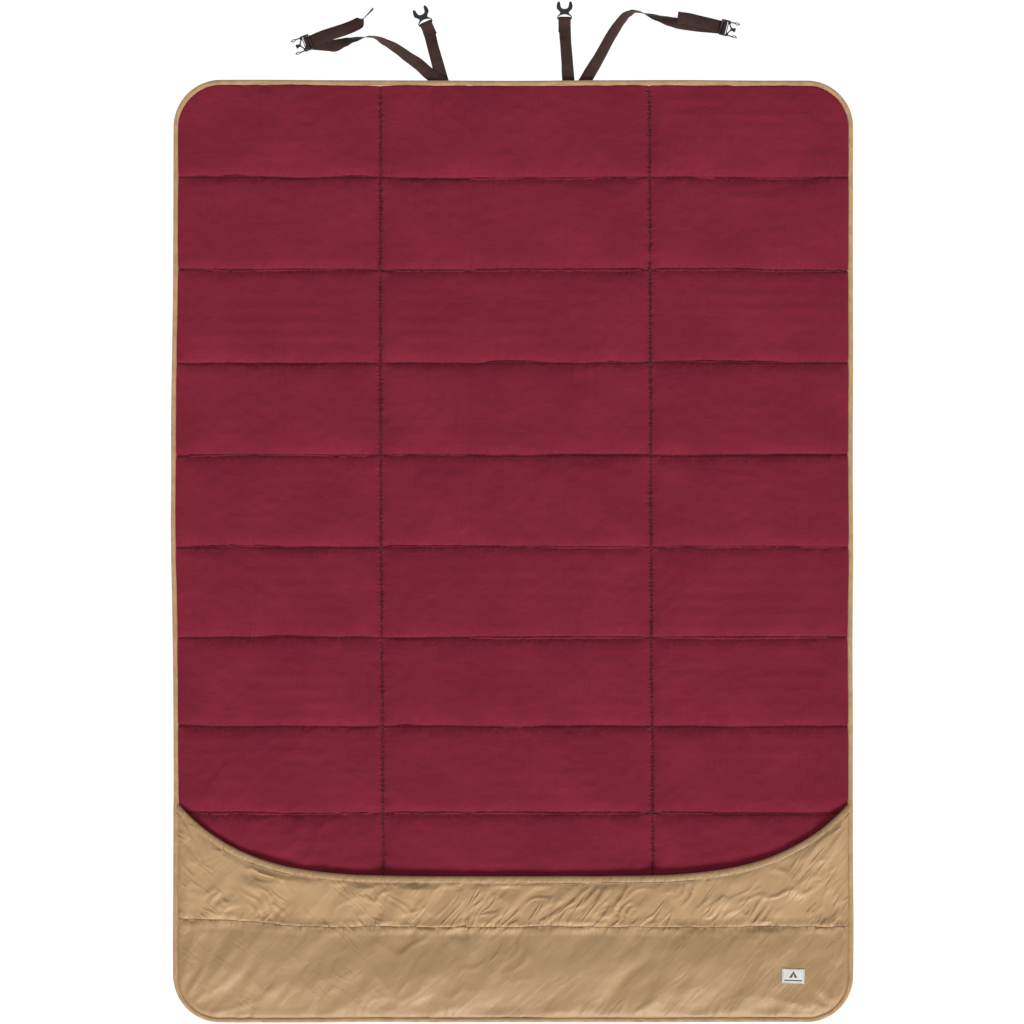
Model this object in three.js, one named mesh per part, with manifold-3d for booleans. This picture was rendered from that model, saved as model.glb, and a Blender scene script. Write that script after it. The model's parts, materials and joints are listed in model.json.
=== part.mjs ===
// Camp blanket: a quilted body with a foot pocket, bound edges, and two pairs of webbing straps with
// side-release buckles that hold it when it is folded in three and rolled.
// Millimetres. The blanket lies flat with its lining up: +Z is up and +Y points to the strap end.
// The origin is the centre of the underside.
import * as THREE from 'three';
import { mergeVertices } from 'three/addons/utils/BufferGeometryUtils.js';
import Module from 'manifold-3d';

const wasm = await Module();
wasm.setup();

// ---------------------------------------------------------------- driving dimensions

const WIDTH = 1372; // 54 in
const LENGTH = 1905; // 75 in
const CORNER_RADIUS = 95;
const GAP = 0.3; // clearance between pieces that touch on the real blanket
const LEFT_FOLD_X = -264; // quilt seam that the left third folds on
const RIGHT_FOLD_X = 280; // quilt seam that the right third folds on
const FOLD_GAP = 1; // between the thirds

const COVER = 1.2; // thickness of a cover fabric
const BODY_BATTING = 8;
const POCKET_BATTING = 4;
const POCKET_HOLLOW = 6; // height of the space that feet go into

const BINDING_WIDTH = 11; // how far the folded tape laps onto each face
const TAPE = 1.2; // thickness of the binding tape

const MOUTH_Y = -655; // lowest point of the pocket's curved mouth
const MOUTH_RISE = 150; // how much higher the mouth is at the sides
const MOUTH_HALF_WIDTH = 680;
const MOUTH_POWER = 5;
const HEM_WIDTH = 16;

const LABEL = { x: 568, y: -857, width: 45, length: 29, thickness: 0.6, turn: -2 };

const WEB_WIDTH = 25;
const WEB_THICKNESS = 1.5;

const BUCKLE_WIDTH = 32;

// ---------------------------------------------------------------- heights, from the floor up

const bodyBattingLow = COVER + GAP;
const bodyBattingHigh = bodyBattingLow + BODY_BATTING;
const linerLow = bodyBattingHigh + GAP;
const bodyTop = linerLow + COVER;
const pocketLiningLow = bodyTop + POCKET_HOLLOW;
const pocketBattingLow = pocketLiningLow + COVER + GAP;
const pocketShellLow = pocketBattingLow + POCKET_BATTING + GAP;
const pocketTop = pocketShellLow + COVER;

const headY = LENGTH / 2;
const mouthEndY = MOUTH_Y + MOUTH_RISE;
const coverInset = BINDING_WIDTH + GAP;
const fillInset = TAPE + GAP;

// ---------------------------------------------------------------- materials

function finish(color, roughness) {
  return new THREE.MeshStandardMaterial({ color, roughness, metalness: 0, flatShading: true });
}

const MAROON = 0x7e2236;
const TAN = 0xb8986f;
const TAPE_TAN = 0xb2946c;
const WHITE = 0xe6e4de;
const WADDING = 0xf0efe8;
const BROWN = 0x46342f;
const BLACK = 0x26272a;

// ---------------------------------------------------------------- solids

const CURVE_SEGMENTS = 5;

function toSolid(geometry) {
  const bare = geometry.clone();
  bare.deleteAttribute('normal');
  bare.deleteAttribute('uv');
  const welded = mergeVertices(bare, 1e-4);
  return new wasm.Manifold(new wasm.Mesh({
    numProp: 3,
    vertProperties: Float32Array.from(welded.attributes.position.array),
    triVerts: Uint32Array.from(welded.index.array),
  }));
}

function toGeometry(solid) {
  const mesh = solid.getMesh();
  const geometry = new THREE.BufferGeometry();
  geometry.setAttribute('position', new THREE.BufferAttribute(mesh.vertProperties, 3));
  geometry.setIndex(new THREE.BufferAttribute(mesh.triVerts, 1));
  geometry.computeVertexNormals();
  return geometry;
}

function plate(shape, low, high, segments = CURVE_SEGMENTS) {
  const options = { depth: high - low, bevelEnabled: false, curveSegments: segments };
  return toSolid(new THREE.ExtrudeGeometry(shape, options).translate(0, 0, low));
}

function block(xLow, xHigh, yLow, yHigh, zLow, zHigh) {
  const geometry = new THREE.BoxGeometry(xHigh - xLow, yHigh - yLow, zHigh - zLow);
  geometry.translate((xLow + xHigh) / 2, (yLow + yHigh) / 2, (zLow + zHigh) / 2);
  return toSolid(geometry);
}

function polygon(points) {
  return new THREE.Shape(points.map(([x, y]) => new THREE.Vector2(x, y)));
}

function addMesh(parent, name, geometry, color, roughness) {
  const mesh = new THREE.Mesh(geometry, finish(color, roughness));
  mesh.name = name;
  parent.add(mesh);
  return mesh;
}

// ---------------------------------------------------------------- quilted body

// The blanket's rounded outline, moved in from the edge by the inset.
function outline(inset) {
  const halfWidth = WIDTH / 2 - inset;
  const halfLength = LENGTH / 2 - inset;
  const radius = CORNER_RADIUS - inset;
  const shape = new THREE.Shape();
  shape.moveTo(radius - halfWidth, -halfLength);
  shape.lineTo(halfWidth - radius, -halfLength);
  shape.absarc(halfWidth - radius, radius - halfLength, radius, -Math.PI / 2, 0);
  shape.lineTo(halfWidth, halfLength - radius);
  shape.absarc(halfWidth - radius, halfLength - radius, radius, 0, Math.PI / 2);
  shape.lineTo(radius - halfWidth, halfLength);
  shape.absarc(radius - halfWidth, halfLength - radius, radius, Math.PI / 2, Math.PI);
  shape.lineTo(-halfWidth, radius - halfLength);
  shape.absarc(radius - halfWidth, radius - halfLength, radius, Math.PI, 1.5 * Math.PI);
  return shape;
}

// One of the three thirds: everything between two x positions.
function thirdBlock(third, yLow = -LENGTH, yHigh = LENGTH) {
  return block(third.xLow, third.xHigh, yLow, yHigh, -1, pocketTop + 1);
}

function layer(third, inset, low, high) {
  return plate(outline(inset), low, high).intersect(thirdBlock(third));
}

// ---------------------------------------------------------------- foot pocket

// A point of the pocket's mouth curve, moved towards the foot, square to the curve, by the offset.
function mouthPoint(x, offset) {
  const along = Math.abs(x) / MOUTH_HALF_WIDTH;
  const y = MOUTH_Y + MOUTH_RISE * along ** MOUTH_POWER;
  const steepness = (MOUTH_POWER * MOUTH_RISE * along ** (MOUTH_POWER - 1)) / MOUTH_HALF_WIDTH;
  const slope = Math.sign(x) * steepness;
  const scale = offset / Math.hypot(1, slope);
  return [x + slope * scale, y - scale];
}

function mouthCurve(third, offset) {
  const start = Math.max(third.xLow, -WIDTH / 2 - HEM_WIDTH);
  const end = Math.min(third.xHigh, WIDTH / 2 + HEM_WIDTH);
  const steps = third.mouthSteps;
  const points = [];
  for (let step = 0; step <= steps; step += 1) {
    points.push(mouthPoint(start + ((end - start) * step) / steps, offset));
  }
  return points;
}

function hemPlate(third) {
  const upper = mouthCurve(third, 0);
  const lower = mouthCurve(third, HEM_WIDTH).reverse();
  const strip = plate(polygon([...upper, ...lower]), pocketLiningLow, pocketTop);
  return strip.intersect(layer(third, coverInset, 0, pocketTop));
}

function pocketLayer(third, inset, low, high) {
  const edge = mouthCurve(third, HEM_WIDTH + GAP);
  const below = polygon([...edge, [third.xHigh, -LENGTH], [third.xLow, -LENGTH]]);
  return plate(below, low, high).intersect(layer(third, inset, low, high));
}

// ---------------------------------------------------------------- binding

// The tape is folded over the edge, so its section is a C that holds the edge of the filling.
function bindingRing(third, height, yLow, yHigh) {
  const outside = layer(third, 0, 0, height);
  const field = layer(third, BINDING_WIDTH, -1, height + 1);
  const channel = layer(third, TAPE, TAPE, height - TAPE);
  return outside.subtract(field).subtract(channel).intersect(thirdBlock(third, yLow, yHigh));
}

// ---------------------------------------------------------------- webbing

// A station is a centre and half the width as a vector; webbing is the flat band through them.
function webbing(stations) {
  const count = stations.length;
  const corners = stations.map(({ centre, half }, i) => {
    const before = stations[Math.max(i - 1, 0)].centre;
    const after = stations[Math.min(i + 1, count - 1)].centre;
    const travel = after.clone().sub(before);
    const up = half.clone().cross(travel).normalize().multiplyScalar(WEB_THICKNESS / 2);
    return [
      centre.clone().sub(half).sub(up),
      centre.clone().add(half).sub(up),
      centre.clone().add(half).add(up),
      centre.clone().sub(half).add(up),
    ];
  });
  const positions = corners.flat().flatMap((corner) => corner.toArray());
  const triangles = [];
  for (let i = 0; i < count - 1; i += 1) {
    for (let side = 0; side < 4; side += 1) {
      const a = i * 4 + side;
      const b = i * 4 + ((side + 1) % 4);
      // Both faces are split along the same diagonal, so that a twisted stretch keeps its thickness.
      if (side === 2) {
        triangles.push(a, a + 4, b, b, a + 4, b + 4);
      } else {
        triangles.push(a, b + 4, b, a, a + 4, b + 4);
      }
    }
  }
  const last = (count - 1) * 4;
  triangles.push(0, 1, 2, 0, 2, 3, last, last + 2, last + 1, last, last + 3, last + 2);
  const geometry = new THREE.BufferGeometry();
  geometry.setAttribute('position', new THREE.Float32BufferAttribute(positions, 3));
  geometry.setIndex(triangles);
  geometry.computeVertexNormals();
  return geometry;
}

function headingVector(degrees) {
  const angle = THREE.MathUtils.degToRad(degrees);
  return new THREE.Vector3(Math.cos(angle), Math.sin(angle), 0);
}

// Webbing that lies on a surface. A point is [x, y, roll, rest]: roll turns the band about its own
// length, in degrees, and rest is the height of what its lower edge lies on.
function lyingRun(points, stepsPerPoint) {
  const route = new THREE.CatmullRomCurve3(
    points.map(([x, y]) => new THREE.Vector3(x, y, 0)), false, 'catmullrom',
  );
  const manner = new THREE.CatmullRomCurve3(
    points.map(([, , roll, rest]) => new THREE.Vector3(roll, rest, 0)), false, 'catmullrom', 0,
  );
  const steps = (points.length - 1) * stepsPerPoint;
  const stations = [];
  for (let step = 0; step <= steps; step += 1) {
    const at = step / steps;
    const { x: roll, y: rest } = manner.getPoint(at);
    const turn = THREE.MathUtils.degToRad(roll);
    const centre = route.getPoint(at);
    const forward = route.getTangent(at);
    const sideways = new THREE.Vector3(forward.y, -forward.x, 0).normalize();
    const half = sideways.multiplyScalar(Math.cos(turn));
    half.z = Math.sin(turn);
    half.multiplyScalar(WEB_WIDTH / 2);
    centre.z = rest + Math.abs(half.z) + (WEB_THICKNESS / 2) * Math.abs(Math.cos(turn));
    stations.push({ centre, half });
  }
  return stations;
}

// Webbing that turns up and over in one upright plane: the profile is a list of [along, height].
function uprightRun(origin, heading, profile) {
  const forward = headingVector(heading);
  const half = new THREE.Vector3(forward.y, -forward.x, 0).multiplyScalar(WEB_WIDTH / 2);
  return profile.map(([along, height]) => {
    const centre = new THREE.Vector3(origin[0], origin[1], height).addScaledVector(forward, along);
    return { centre, half: half.clone() };
  });
}

// The sewn-in start of a strap: cut along the blanket's edge at one end and square at the other.
function strapRoot(strap) {
  const forward = headingVector(strap.rootHeading);
  const start = new THREE.Vector3(strap.rootX, headY + GAP, strap.rootRest + WEB_THICKNESS / 2);
  const half = new THREE.Vector3(forward.y, -forward.x, 0).multiplyScalar(WEB_WIDTH / 2);
  const skewHalf = new THREE.Vector3(WEB_WIDTH / 2 / forward.y, 0, 0);
  const end = start.clone().addScaledVector(forward, strap.rootLength - GAP);
  return webbing([{ centre: start, half: skewHalf }, { centre: end, half }]);
}

function rootEnd(strap) {
  const forward = headingVector(strap.rootHeading);
  return [strap.rootX + forward.x * strap.rootLength, headY + GAP + forward.y * strap.rootLength];
}

// ---------------------------------------------------------------- buckle socket

const SOCKET_HEIGHT = 9;
const SOCKET_WALL = 1.5;
const BAR_RADIUS = 2;
const BAR_Z = SOCKET_HEIGHT / 2;
const SLOT_HALF = 13; // half width of a webbing slot
const RING_HALF = 15; // half width of the webbing loop's frame
const WAIST_HALF = 8.8;
const SOCKET_LENGTH = 34;
const NOTCH_HALF = 8.3;

// Both sides of a buckle are alike, so an outline is drawn once and mirrored in its centre line.
function mirrored(points) {
  const other = points.filter(([x]) => x > 0).map(([x, y]) => [-x, y]).reverse();
  return polygon([...points, ...other]);
}

// Along +Y from the webbing bar to the tips of the two guide arms.
function socketSolid() {
  const armHalf = BUCKLE_WIDTH / 2;
  const ring = plate(mirrored([
    [RING_HALF - 2, -2], [RING_HALF, 0], [RING_HALF, 4.5], [WAIST_HALF + 1, 9.8], [WAIST_HALF, 12],
  ]), BAR_Z - 2, BAR_Z + 2);
  const hole = plate(mirrored([
    [SLOT_HALF, -3], [SLOT_HALF, 4.4], [9, 6.8], [4.5, 8.5], [0, 9],
  ]), -1, SOCKET_HEIGHT + 1);
  const bar = new THREE.CylinderGeometry(BAR_RADIUS, BAR_RADIUS, 2 * SLOT_HALF + 1, 16);
  bar.rotateZ(Math.PI / 2).translate(0, 0, BAR_Z);
  const body = plate(mirrored([
    [WAIST_HALF, 10.5], [WAIST_HALF, 13], [11, 16.5], [armHalf - 0.6, 20], [armHalf, 22],
    [armHalf, 27], [armHalf - 1.2, 32], [armHalf - 3, SOCKET_LENGTH], [armHalf - 5.5, SOCKET_LENGTH],
    [armHalf - 7, 31.5], [NOTCH_HALF, 26], [7.4, 22.5], [5, 20], [0, 19],
  ]), 0, SOCKET_HEIGHT);
  const hollow = block(
    -(armHalf - 2), armHalf - 2, 14, SOCKET_LENGTH + 1, SOCKET_WALL, SOCKET_HEIGHT - SOCKET_WALL,
  );
  return ring.subtract(hole).add(toSolid(bar)).add(body.subtract(hollow));
}

// The webbing passes under the bar, up through the slot and back over the bar onto itself.
function barLoop() {
  const radius = BAR_RADIUS + GAP + WEB_THICKNESS / 2 + 0.15;
  const profile = [[-12, WEB_THICKNESS / 2], [-5, 0.9]];
  const steps = 6;
  for (let step = 0; step <= steps; step += 1) {
    const angle = -Math.PI / 2 + (Math.PI * step) / steps;
    profile.push([radius * Math.cos(angle), BAR_Z + radius * Math.sin(angle)]);
  }
  const flapZ = 1.5 * WEB_THICKNESS + GAP;
  profile.push([-5, BAR_Z + 2.2], [-12, flapZ + 1.2], [-18, flapZ + 0.1], [-27, flapZ]);
  return profile;
}

// ---------------------------------------------------------------- buckle plug

const PLUG_LOW = 1.8; // the standing webbing passes beneath
const PLUG_HIGH = 7.8;
const RAIL = 2.8;
const PRONG_ROOT_Y = 11.5;
const PRONG_X = 13.8;
const PRONG_WIDTH = 2.2;
const PRONG_LENGTH = 18;
const TONGUE_LENGTH = 23.5;

// A ladder lock with a tongue, along +Y; y = 0 is the locking bar that the webbing turns over.
function plugSolid() {
  const half = BUCKLE_WIDTH / 2;
  const frame = plate(mirrored([
    [half - 1.5, -8.6], [half, -7], [half, 6], [half - 0.8, 10], [half - 2, PRONG_ROOT_Y],
    [11, PRONG_ROOT_Y], [10.4, 9.6], [5, 13.6], [3, 15], [2.6, 18], [4, 20], [4, TONGUE_LENGTH - 1],
    [3, TONGUE_LENGTH],
  ]), PLUG_LOW, PLUG_HIGH);
  const inner = half - RAIL;
  const rearSlot = block(-inner, inner, -5.4, -1.6, 0, PLUG_HIGH + 1);
  const frontSlot = block(-inner, inner, 1.6, 5.4, 0, PLUG_HIGH + 1);
  const arch = plate(mirrored([[9, 7], [8.2, 8.6], [3.4, 12], [0, 13]]), 0, PLUG_HIGH + 1);
  const underRear = block(-inner, inner, -9, -5, 0, PLUG_LOW + 2.4);
  const overBar = block(-inner, inner, -2, 2, PLUG_LOW + 4.2, PLUG_HIGH + 1);
  const underBar = block(-inner, inner, -2, 2, 0, PLUG_LOW + 1.6);
  const slimFront = block(-half, half, PRONG_ROOT_Y, TONGUE_LENGTH + 1, PLUG_HIGH - 1.3, PLUG_HIGH + 1);
  const slimUnder = block(-half, half, PRONG_ROOT_Y, TONGUE_LENGTH + 1, 0, PLUG_LOW + 1.3);
  return [rearSlot, frontSlot, arch, underRear, overBar, underBar, slimFront, slimUnder]
    .reduce((solid, cut) => solid.subtract(cut), frame);
}

// A springy arm with a pointed, pierced head; side is +1 or -1.
function prongSolid(side) {
  const low = PLUG_LOW + 1.3;
  const high = PLUG_HIGH - 1.3;
  const root = PRONG_ROOT_Y + 0.4;
  const neck = root + 7;
  const tip = root + PRONG_LENGTH;
  const outer = PRONG_X + PRONG_WIDTH / 2;
  const inner = PRONG_X - PRONG_WIDTH / 2;
  const arm = polygon([
    [side * inner, root], [side * outer, root], [side * outer, neck], [side * (outer + 1.1), neck + 3],
    [side * (outer + 1.1), neck + 5.5], [side * (PRONG_X + 0.4), tip], [side * (PRONG_X - 0.8), tip],
    [side * (inner - 2.2), neck + 6.5], [side * (inner - 2), neck + 3.5], [side * inner, neck],
  ]);
  const eye = new THREE.Shape();
  eye.absellipse(side * (PRONG_X - 0.4), neck + 5, 1.3, 3.2, 0, 2 * Math.PI);
  return plate(arm, low, high).subtract(plate(eye, low - 1, high + 1, 6));
}

// The tail comes up in front of the locking bar, over it, down behind it and back under the rear bar.
function tailLoop() {
  const flapZ = 1.5 * WEB_THICKNESS + GAP;
  return [
    [2, 2.75], [3.2, 3.2], [3.5, 4.8], [2.9, 6.8], [1.5, 7.9], [0, 8.15], [-1.5, 7.9], [-2.9, 6.8],
    [-3.5, 4.8], [-4.2, 3.1], [-6, flapZ + 0.15], [-9, flapZ + 0.1], [-14, flapZ + 0.1],
  ];
}

// ---------------------------------------------------------------- strap layouts

// Root: where the strap leaves the edge. Route: points of its run, root end first, as lyingRun takes them.
// Short straps end at a socket; long straps end at a plug, and the tail is the free end past it.
const STRAPS = {
  left_short: {
    rootX: -140.5, rootHeading: 106, rootLength: 35, rootRest: 0,
    route: [[-153, 997, 2, 0], [-160.5, 1024, 12, 0], [-164.8, 1042, 0, 0], [-167.8, 1052.5, 0, 0]],
    buckle: { at: [-174.6, 1070], heading: 114 },
  },
  left_long: {
    rootX: -146.7, rootHeading: 143, rootLength: 30, rootRest: 1.8,
    route: [
      [-189, 987.5, 12, 0.3], [-208, 1000, 34, 0], [-234, 1018.5, 46, 0], [-258, 1031.5, 62, 0],
      [-285, 1042, 90, 0], [-319, 1036.5, 124, 0], [-339, 1031.5, 148, 0],
    ],
    runHeading: 175, runRoll: 180,
    buckle: { at: [-415.5, 1031], heading: 201 },
    tail: [[-378, 1046, 180, 2.2], [-340, 1058, 176, 2.5], [-312, 1070, 184, 3], [-299, 1080, 262, 1.5],
      [-281, 1099, 270, 0]],
  },
  right_short: {
    rootX: 114.5, rootHeading: 94.5, rootLength: 22, rootRest: 0,
    route: [[111.7, 994, -4, 0], [109, 1028, -14, 0], [107.6, 1050, 0, 0], [107, 1058, 0, 0]],
    buckle: { at: [106.5, 1080], heading: 90 },
  },
  right_long: {
    rootX: 147.5, rootHeading: 60, rootLength: 22, rootRest: 0,
    route: [
      [177, 1002, -26, 0], [201, 1045.5, -33, 0], [224, 1078.5, -50, 0], [239, 1089.5, -68, 0],
      [255, 1092.5, -90, 0], [292, 1081, -130, 0], [319, 1074, -153, 0], [342, 1070, -172, 0],
    ],
    runHeading: -5, runRoll: -180,
    buckle: { at: [430, 1061.8], heading: -14 },
    tail: [[398, 1070, 180, 2.2], [382, 1073.5, 182, 2.4], [358, 1078.5, 190, 4], [335, 1081, 190, 6.5]],
  },
};
const RUN_LENGTH = 45; // straight stretch of a long strap that its plug slides over
const PRONG_NAMES = { 1: 'right_prong', '-1': 'left_prong' };

function alongHeading([x, y], heading, distance) {
  const forward = headingVector(heading);
  return [x + forward.x * distance, y + forward.y * distance];
}

// A moving strap starts a small gap past its root, cut square to it.
function movingRun(strap, ending) {
  const [x, y] = rootEnd(strap);
  const stations = lyingRun([[x, y, 0, strap.rootRest], ...strap.route, ...ending], 3);
  const forward = headingVector(strap.rootHeading);
  stations[0].half.set(forward.y, -forward.x, 0).multiplyScalar(WEB_WIDTH / 2);
  return stations;
}

function buckleGroup(parent, strap) {
  const group = new THREE.Group();
  group.position.set(strap.buckle.at[0], strap.buckle.at[1], 0);
  group.rotation.z = THREE.MathUtils.degToRad(strap.buckle.heading - 90);
  parent.add(group);
  return group;
}

function addShortStrap(parent, name, strap) {
  const { at, heading } = strap.buckle;
  const lying = movingRun(strap, [[...alongHeading(at, heading, -13), 0, 0]]);
  lying.pop();
  const stations = [...lying, ...uprightRun(at, heading, barLoop())];
  addMesh(parent, `${name}_strap`, webbing(stations), BROWN, 0.8);
  const group = buckleGroup(parent, strap);
  addMesh(group, `${name.replace('_short', '')}_socket`, toGeometry(socketSolid()), BLACK, 0.45);
}

function addLongStrap(parent, name, strap) {
  const side = name.replace('_long', '');
  const { at, heading } = strap.buckle;
  const runStart = alongHeading(at, strap.runHeading, -RUN_LENGTH);
  const beforeRun = alongHeading(at, strap.runHeading, -RUN_LENGTH - 12);
  const stations = movingRun(strap, [[...beforeRun, strap.runRoll, 0], [...runStart, strap.runRoll, 0]]);
  addMesh(parent, `${name}_strap`, webbing(stations), BROWN, 0.8);

  const run = [[GAP - RUN_LENGTH, WEB_THICKNESS / 2], [0, WEB_THICKNESS / 2]];
  addMesh(parent, `${side}_strap_run`, webbing(uprightRun(at, strap.runHeading, run)), BROWN, 0.8);

  const loop = uprightRun(at, heading, tailLoop());
  const reversed = strap.tail.map(([x, y, roll, rest]) => [x, y, roll - 180, rest]);
  const lying = lyingRun([[...alongHeading(at, heading, -16), 0, 1.9], ...reversed], 3);
  lying.forEach((station) => station.half.negate());
  addMesh(parent, `${side}_strap_tail`, webbing([...loop, ...lying]), BROWN, 0.8);

  const group = buckleGroup(parent, strap);
  addMesh(group, `${side}_plug`, toGeometry(plugSolid()), BLACK, 0.45);
  for (const lean of [1, -1]) {
    addMesh(group, `${side}_plug_${PRONG_NAMES[lean]}`, toGeometry(prongSolid(lean)), BLACK, 0.45);
  }
}

// ---------------------------------------------------------------- the blanket

const THIRDS = [
  { name: 'left', xLow: -WIDTH, xHigh: LEFT_FOLD_X - FOLD_GAP / 2, mouthSteps: 14 },
  { name: 'centre', xLow: LEFT_FOLD_X + FOLD_GAP / 2, xHigh: RIGHT_FOLD_X - FOLD_GAP / 2, mouthSteps: 4 },
  { name: 'right', xLow: RIGHT_FOLD_X + FOLD_GAP / 2, xHigh: WIDTH, mouthSteps: 14 },
];

function addThird(parent, third) {
  const pieces = [
    ['shell', layer(third, coverInset, 0, COVER), TAN, 0.6],
    ['batting', layer(third, fillInset, bodyBattingLow, bodyBattingHigh), WADDING, 0.95],
    ['liner', layer(third, coverInset, linerLow, bodyTop), MAROON, 0.85],
    ['pocket_lining', pocketLayer(third, fillInset, pocketLiningLow, pocketLiningLow + COVER), MAROON, 0.85],
    ['pocket_batting',
      pocketLayer(third, fillInset, pocketBattingLow, pocketBattingLow + POCKET_BATTING), WADDING, 0.95],
    ['pocket_shell', pocketLayer(third, coverInset, pocketShellLow, pocketTop), TAN, 0.5],
    ['pocket_hem', hemPlate(third), TAN, 0.5],
    ['head_binding', bindingRing(third, bodyTop, mouthEndY + GAP, LENGTH), TAPE_TAN, 0.8],
    ['foot_binding', bindingRing(third, pocketTop, -LENGTH, mouthEndY), TAPE_TAN, 0.8],
  ];
  for (const [piece, solid, color, roughness] of pieces) {
    addMesh(parent, `${third.name}_${piece}`, toGeometry(solid), color, roughness);
  }
}

function addLabel(parent) {
  const geometry = new THREE.BoxGeometry(LABEL.width, LABEL.length, LABEL.thickness);
  const mesh = addMesh(parent, 'label', geometry, WHITE, 0.7);
  mesh.position.set(LABEL.x, LABEL.y, pocketTop + GAP + LABEL.thickness / 2);
  mesh.rotation.z = THREE.MathUtils.degToRad(LABEL.turn);
}

const blanket = new THREE.Group();
for (const third of THIRDS) {
  addThird(blanket, third);
}
addLabel(blanket);
for (const [name, strap] of Object.entries(STRAPS)) {
  addMesh(blanket, `${name}_strap_root`, strapRoot(strap), BROWN, 0.8);
  if (strap.tail) {
    addLongStrap(blanket, name, strap);
  } else {
    addShortStrap(blanket, name, strap);
  }
}

export default blanket;
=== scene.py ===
import json
import math

import bmesh
import bpy
import numpy as np
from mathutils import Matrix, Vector
from mathutils.kdtree import KDTree


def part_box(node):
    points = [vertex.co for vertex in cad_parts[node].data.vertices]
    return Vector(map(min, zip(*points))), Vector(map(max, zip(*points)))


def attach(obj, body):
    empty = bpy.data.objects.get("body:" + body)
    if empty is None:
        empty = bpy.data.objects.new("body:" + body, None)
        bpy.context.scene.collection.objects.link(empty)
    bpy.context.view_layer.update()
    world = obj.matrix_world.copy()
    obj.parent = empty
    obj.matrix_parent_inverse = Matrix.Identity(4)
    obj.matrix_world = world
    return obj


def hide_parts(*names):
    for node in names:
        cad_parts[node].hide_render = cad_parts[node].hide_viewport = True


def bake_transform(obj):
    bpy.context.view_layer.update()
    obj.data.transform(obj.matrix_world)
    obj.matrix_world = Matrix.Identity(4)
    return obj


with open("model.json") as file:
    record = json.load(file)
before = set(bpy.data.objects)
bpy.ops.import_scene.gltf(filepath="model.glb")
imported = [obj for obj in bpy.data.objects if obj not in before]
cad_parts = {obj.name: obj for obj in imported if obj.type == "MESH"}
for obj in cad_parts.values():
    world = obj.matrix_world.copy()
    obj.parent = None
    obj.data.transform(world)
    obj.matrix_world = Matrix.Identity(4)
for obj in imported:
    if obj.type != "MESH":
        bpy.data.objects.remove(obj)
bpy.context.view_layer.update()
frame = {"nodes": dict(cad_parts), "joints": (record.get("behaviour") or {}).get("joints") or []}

# Looks of the camp blanket. Metres; +Y points to the head edge, where the straps are, and +Z is up
# through the lining. Each cover is built as a left and a right piece that meet on a storage crease in
# the centre third.

MM = 0.001

# ------------------------------------------------------------------ places, from the frame

JOINTS = {joint["name"]: joint for joint in frame["joints"]}
LEFT_FOLD_X = JOINTS["left_third_fold"]["pos_m"][0]
RIGHT_FOLD_X = JOINTS["right_third_fold"]["pos_m"][0]
HALF_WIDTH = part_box("right_head_binding")[1].x
HALF_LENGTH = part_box("centre_head_binding")[1].y
MOUTH_LOW_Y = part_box("centre_pocket_hem")[1].y - 2 * MM
MOUTH_RISE = 150 * MM
MOUTH_HALF_WIDTH = 680 * MM
MOUTH_POWER = 5
HEM_WIDTH = 16 * MM
CORNER_RADIUS = 95 * MM
SPLIT_X = -86 * MM  # the left and right pieces of each cover meet here

BINDING_WIDTH = 11 * MM
COVER_INSET = 5 * MM  # covers end inside the folded binding
COVER_THICKNESS = 0.9 * MM
BACKING_DROP = 1.6 * MM  # the coarse back of a fine cover lies a little deeper
SEAM_HEIGHT = 4.2 * MM  # top of the lining in a quilt seam
PUFF_HEIGHT = 8.6 * MM  # how far the lining rises above its seams
EDGE_HEIGHT = 6.2 * MM  # top of the lining where the binding takes it
ROW_PITCH = 187 * MM  # between the seams that run across
FIRST_ROW_Y = 756 * MM
LAST_ROW = 9
LABEL_WIDTH = 45 * MM
LABEL_LENGTH = 29 * MM

LINER_FINE = {"left": 4.3 * MM, "right": 4.7 * MM}  # spacing of the points of each mesh
SHELL_STEP = 8 * MM
POCKET_FINE = 3.2 * MM
OUTLINE_STEP = 4 * MM
HEM_STEP = 3.2 * MM
BACKING_RATIO = 3  # the unseen face of a fine cover has a third of its rows and columns

LINER_STEP = 14 * MM  # spacing of the points in the lining's simulation
POCKET_UPPER = 22  # rows of the pocket's simulation between the hem and the seam
POCKET_LOWER = 34  # and between the seam and the foot edge
POCKET_COLUMNS = 271
POCKET_INSET = 5 * MM
SETTLING_FRAMES = 30


# ------------------------------------------------------------------ noise

def hashed(i, j, seed):
    """A repeatable value from -1 to 1 for each pair of whole numbers."""
    n = (i.astype(np.int64) * 374761393 + j.astype(np.int64) * 668265263 + seed * 1442695041) & 0xFFFFFFFF
    n = ((n ^ (n >> 13)) * 1274126177) & 0xFFFFFFFF
    n = ((n ^ (n >> 15)) * 2246822519) & 0xFFFFFFFF
    return ((n ^ (n >> 16)) & 0xFFFF) / 32767.5 - 1


def noise(x, y=0.0, seed=0):
    """Smooth noise from -1 to 1 that changes over about one unit."""
    x, y = np.broadcast_arrays(np.asarray(x, float), np.asarray(y, float))
    i, j = np.floor(x), np.floor(y)
    fx, fy = x - i, y - j
    fx, fy = fx * fx * (3 - 2 * fx), fy * fy * (3 - 2 * fy)
    low = hashed(i, j, seed) * (1 - fx) + hashed(i + 1, j, seed) * fx
    high = hashed(i, j + 1, seed) * (1 - fx) + hashed(i + 1, j + 1, seed) * fx
    return low * (1 - fy) + high * fy


def smoothstep(low, high, value):
    t = np.clip((value - low) / (high - low), 0, 1)
    return t * t * (3 - 2 * t)


# ------------------------------------------------------------------ outline, seams and curves

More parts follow.
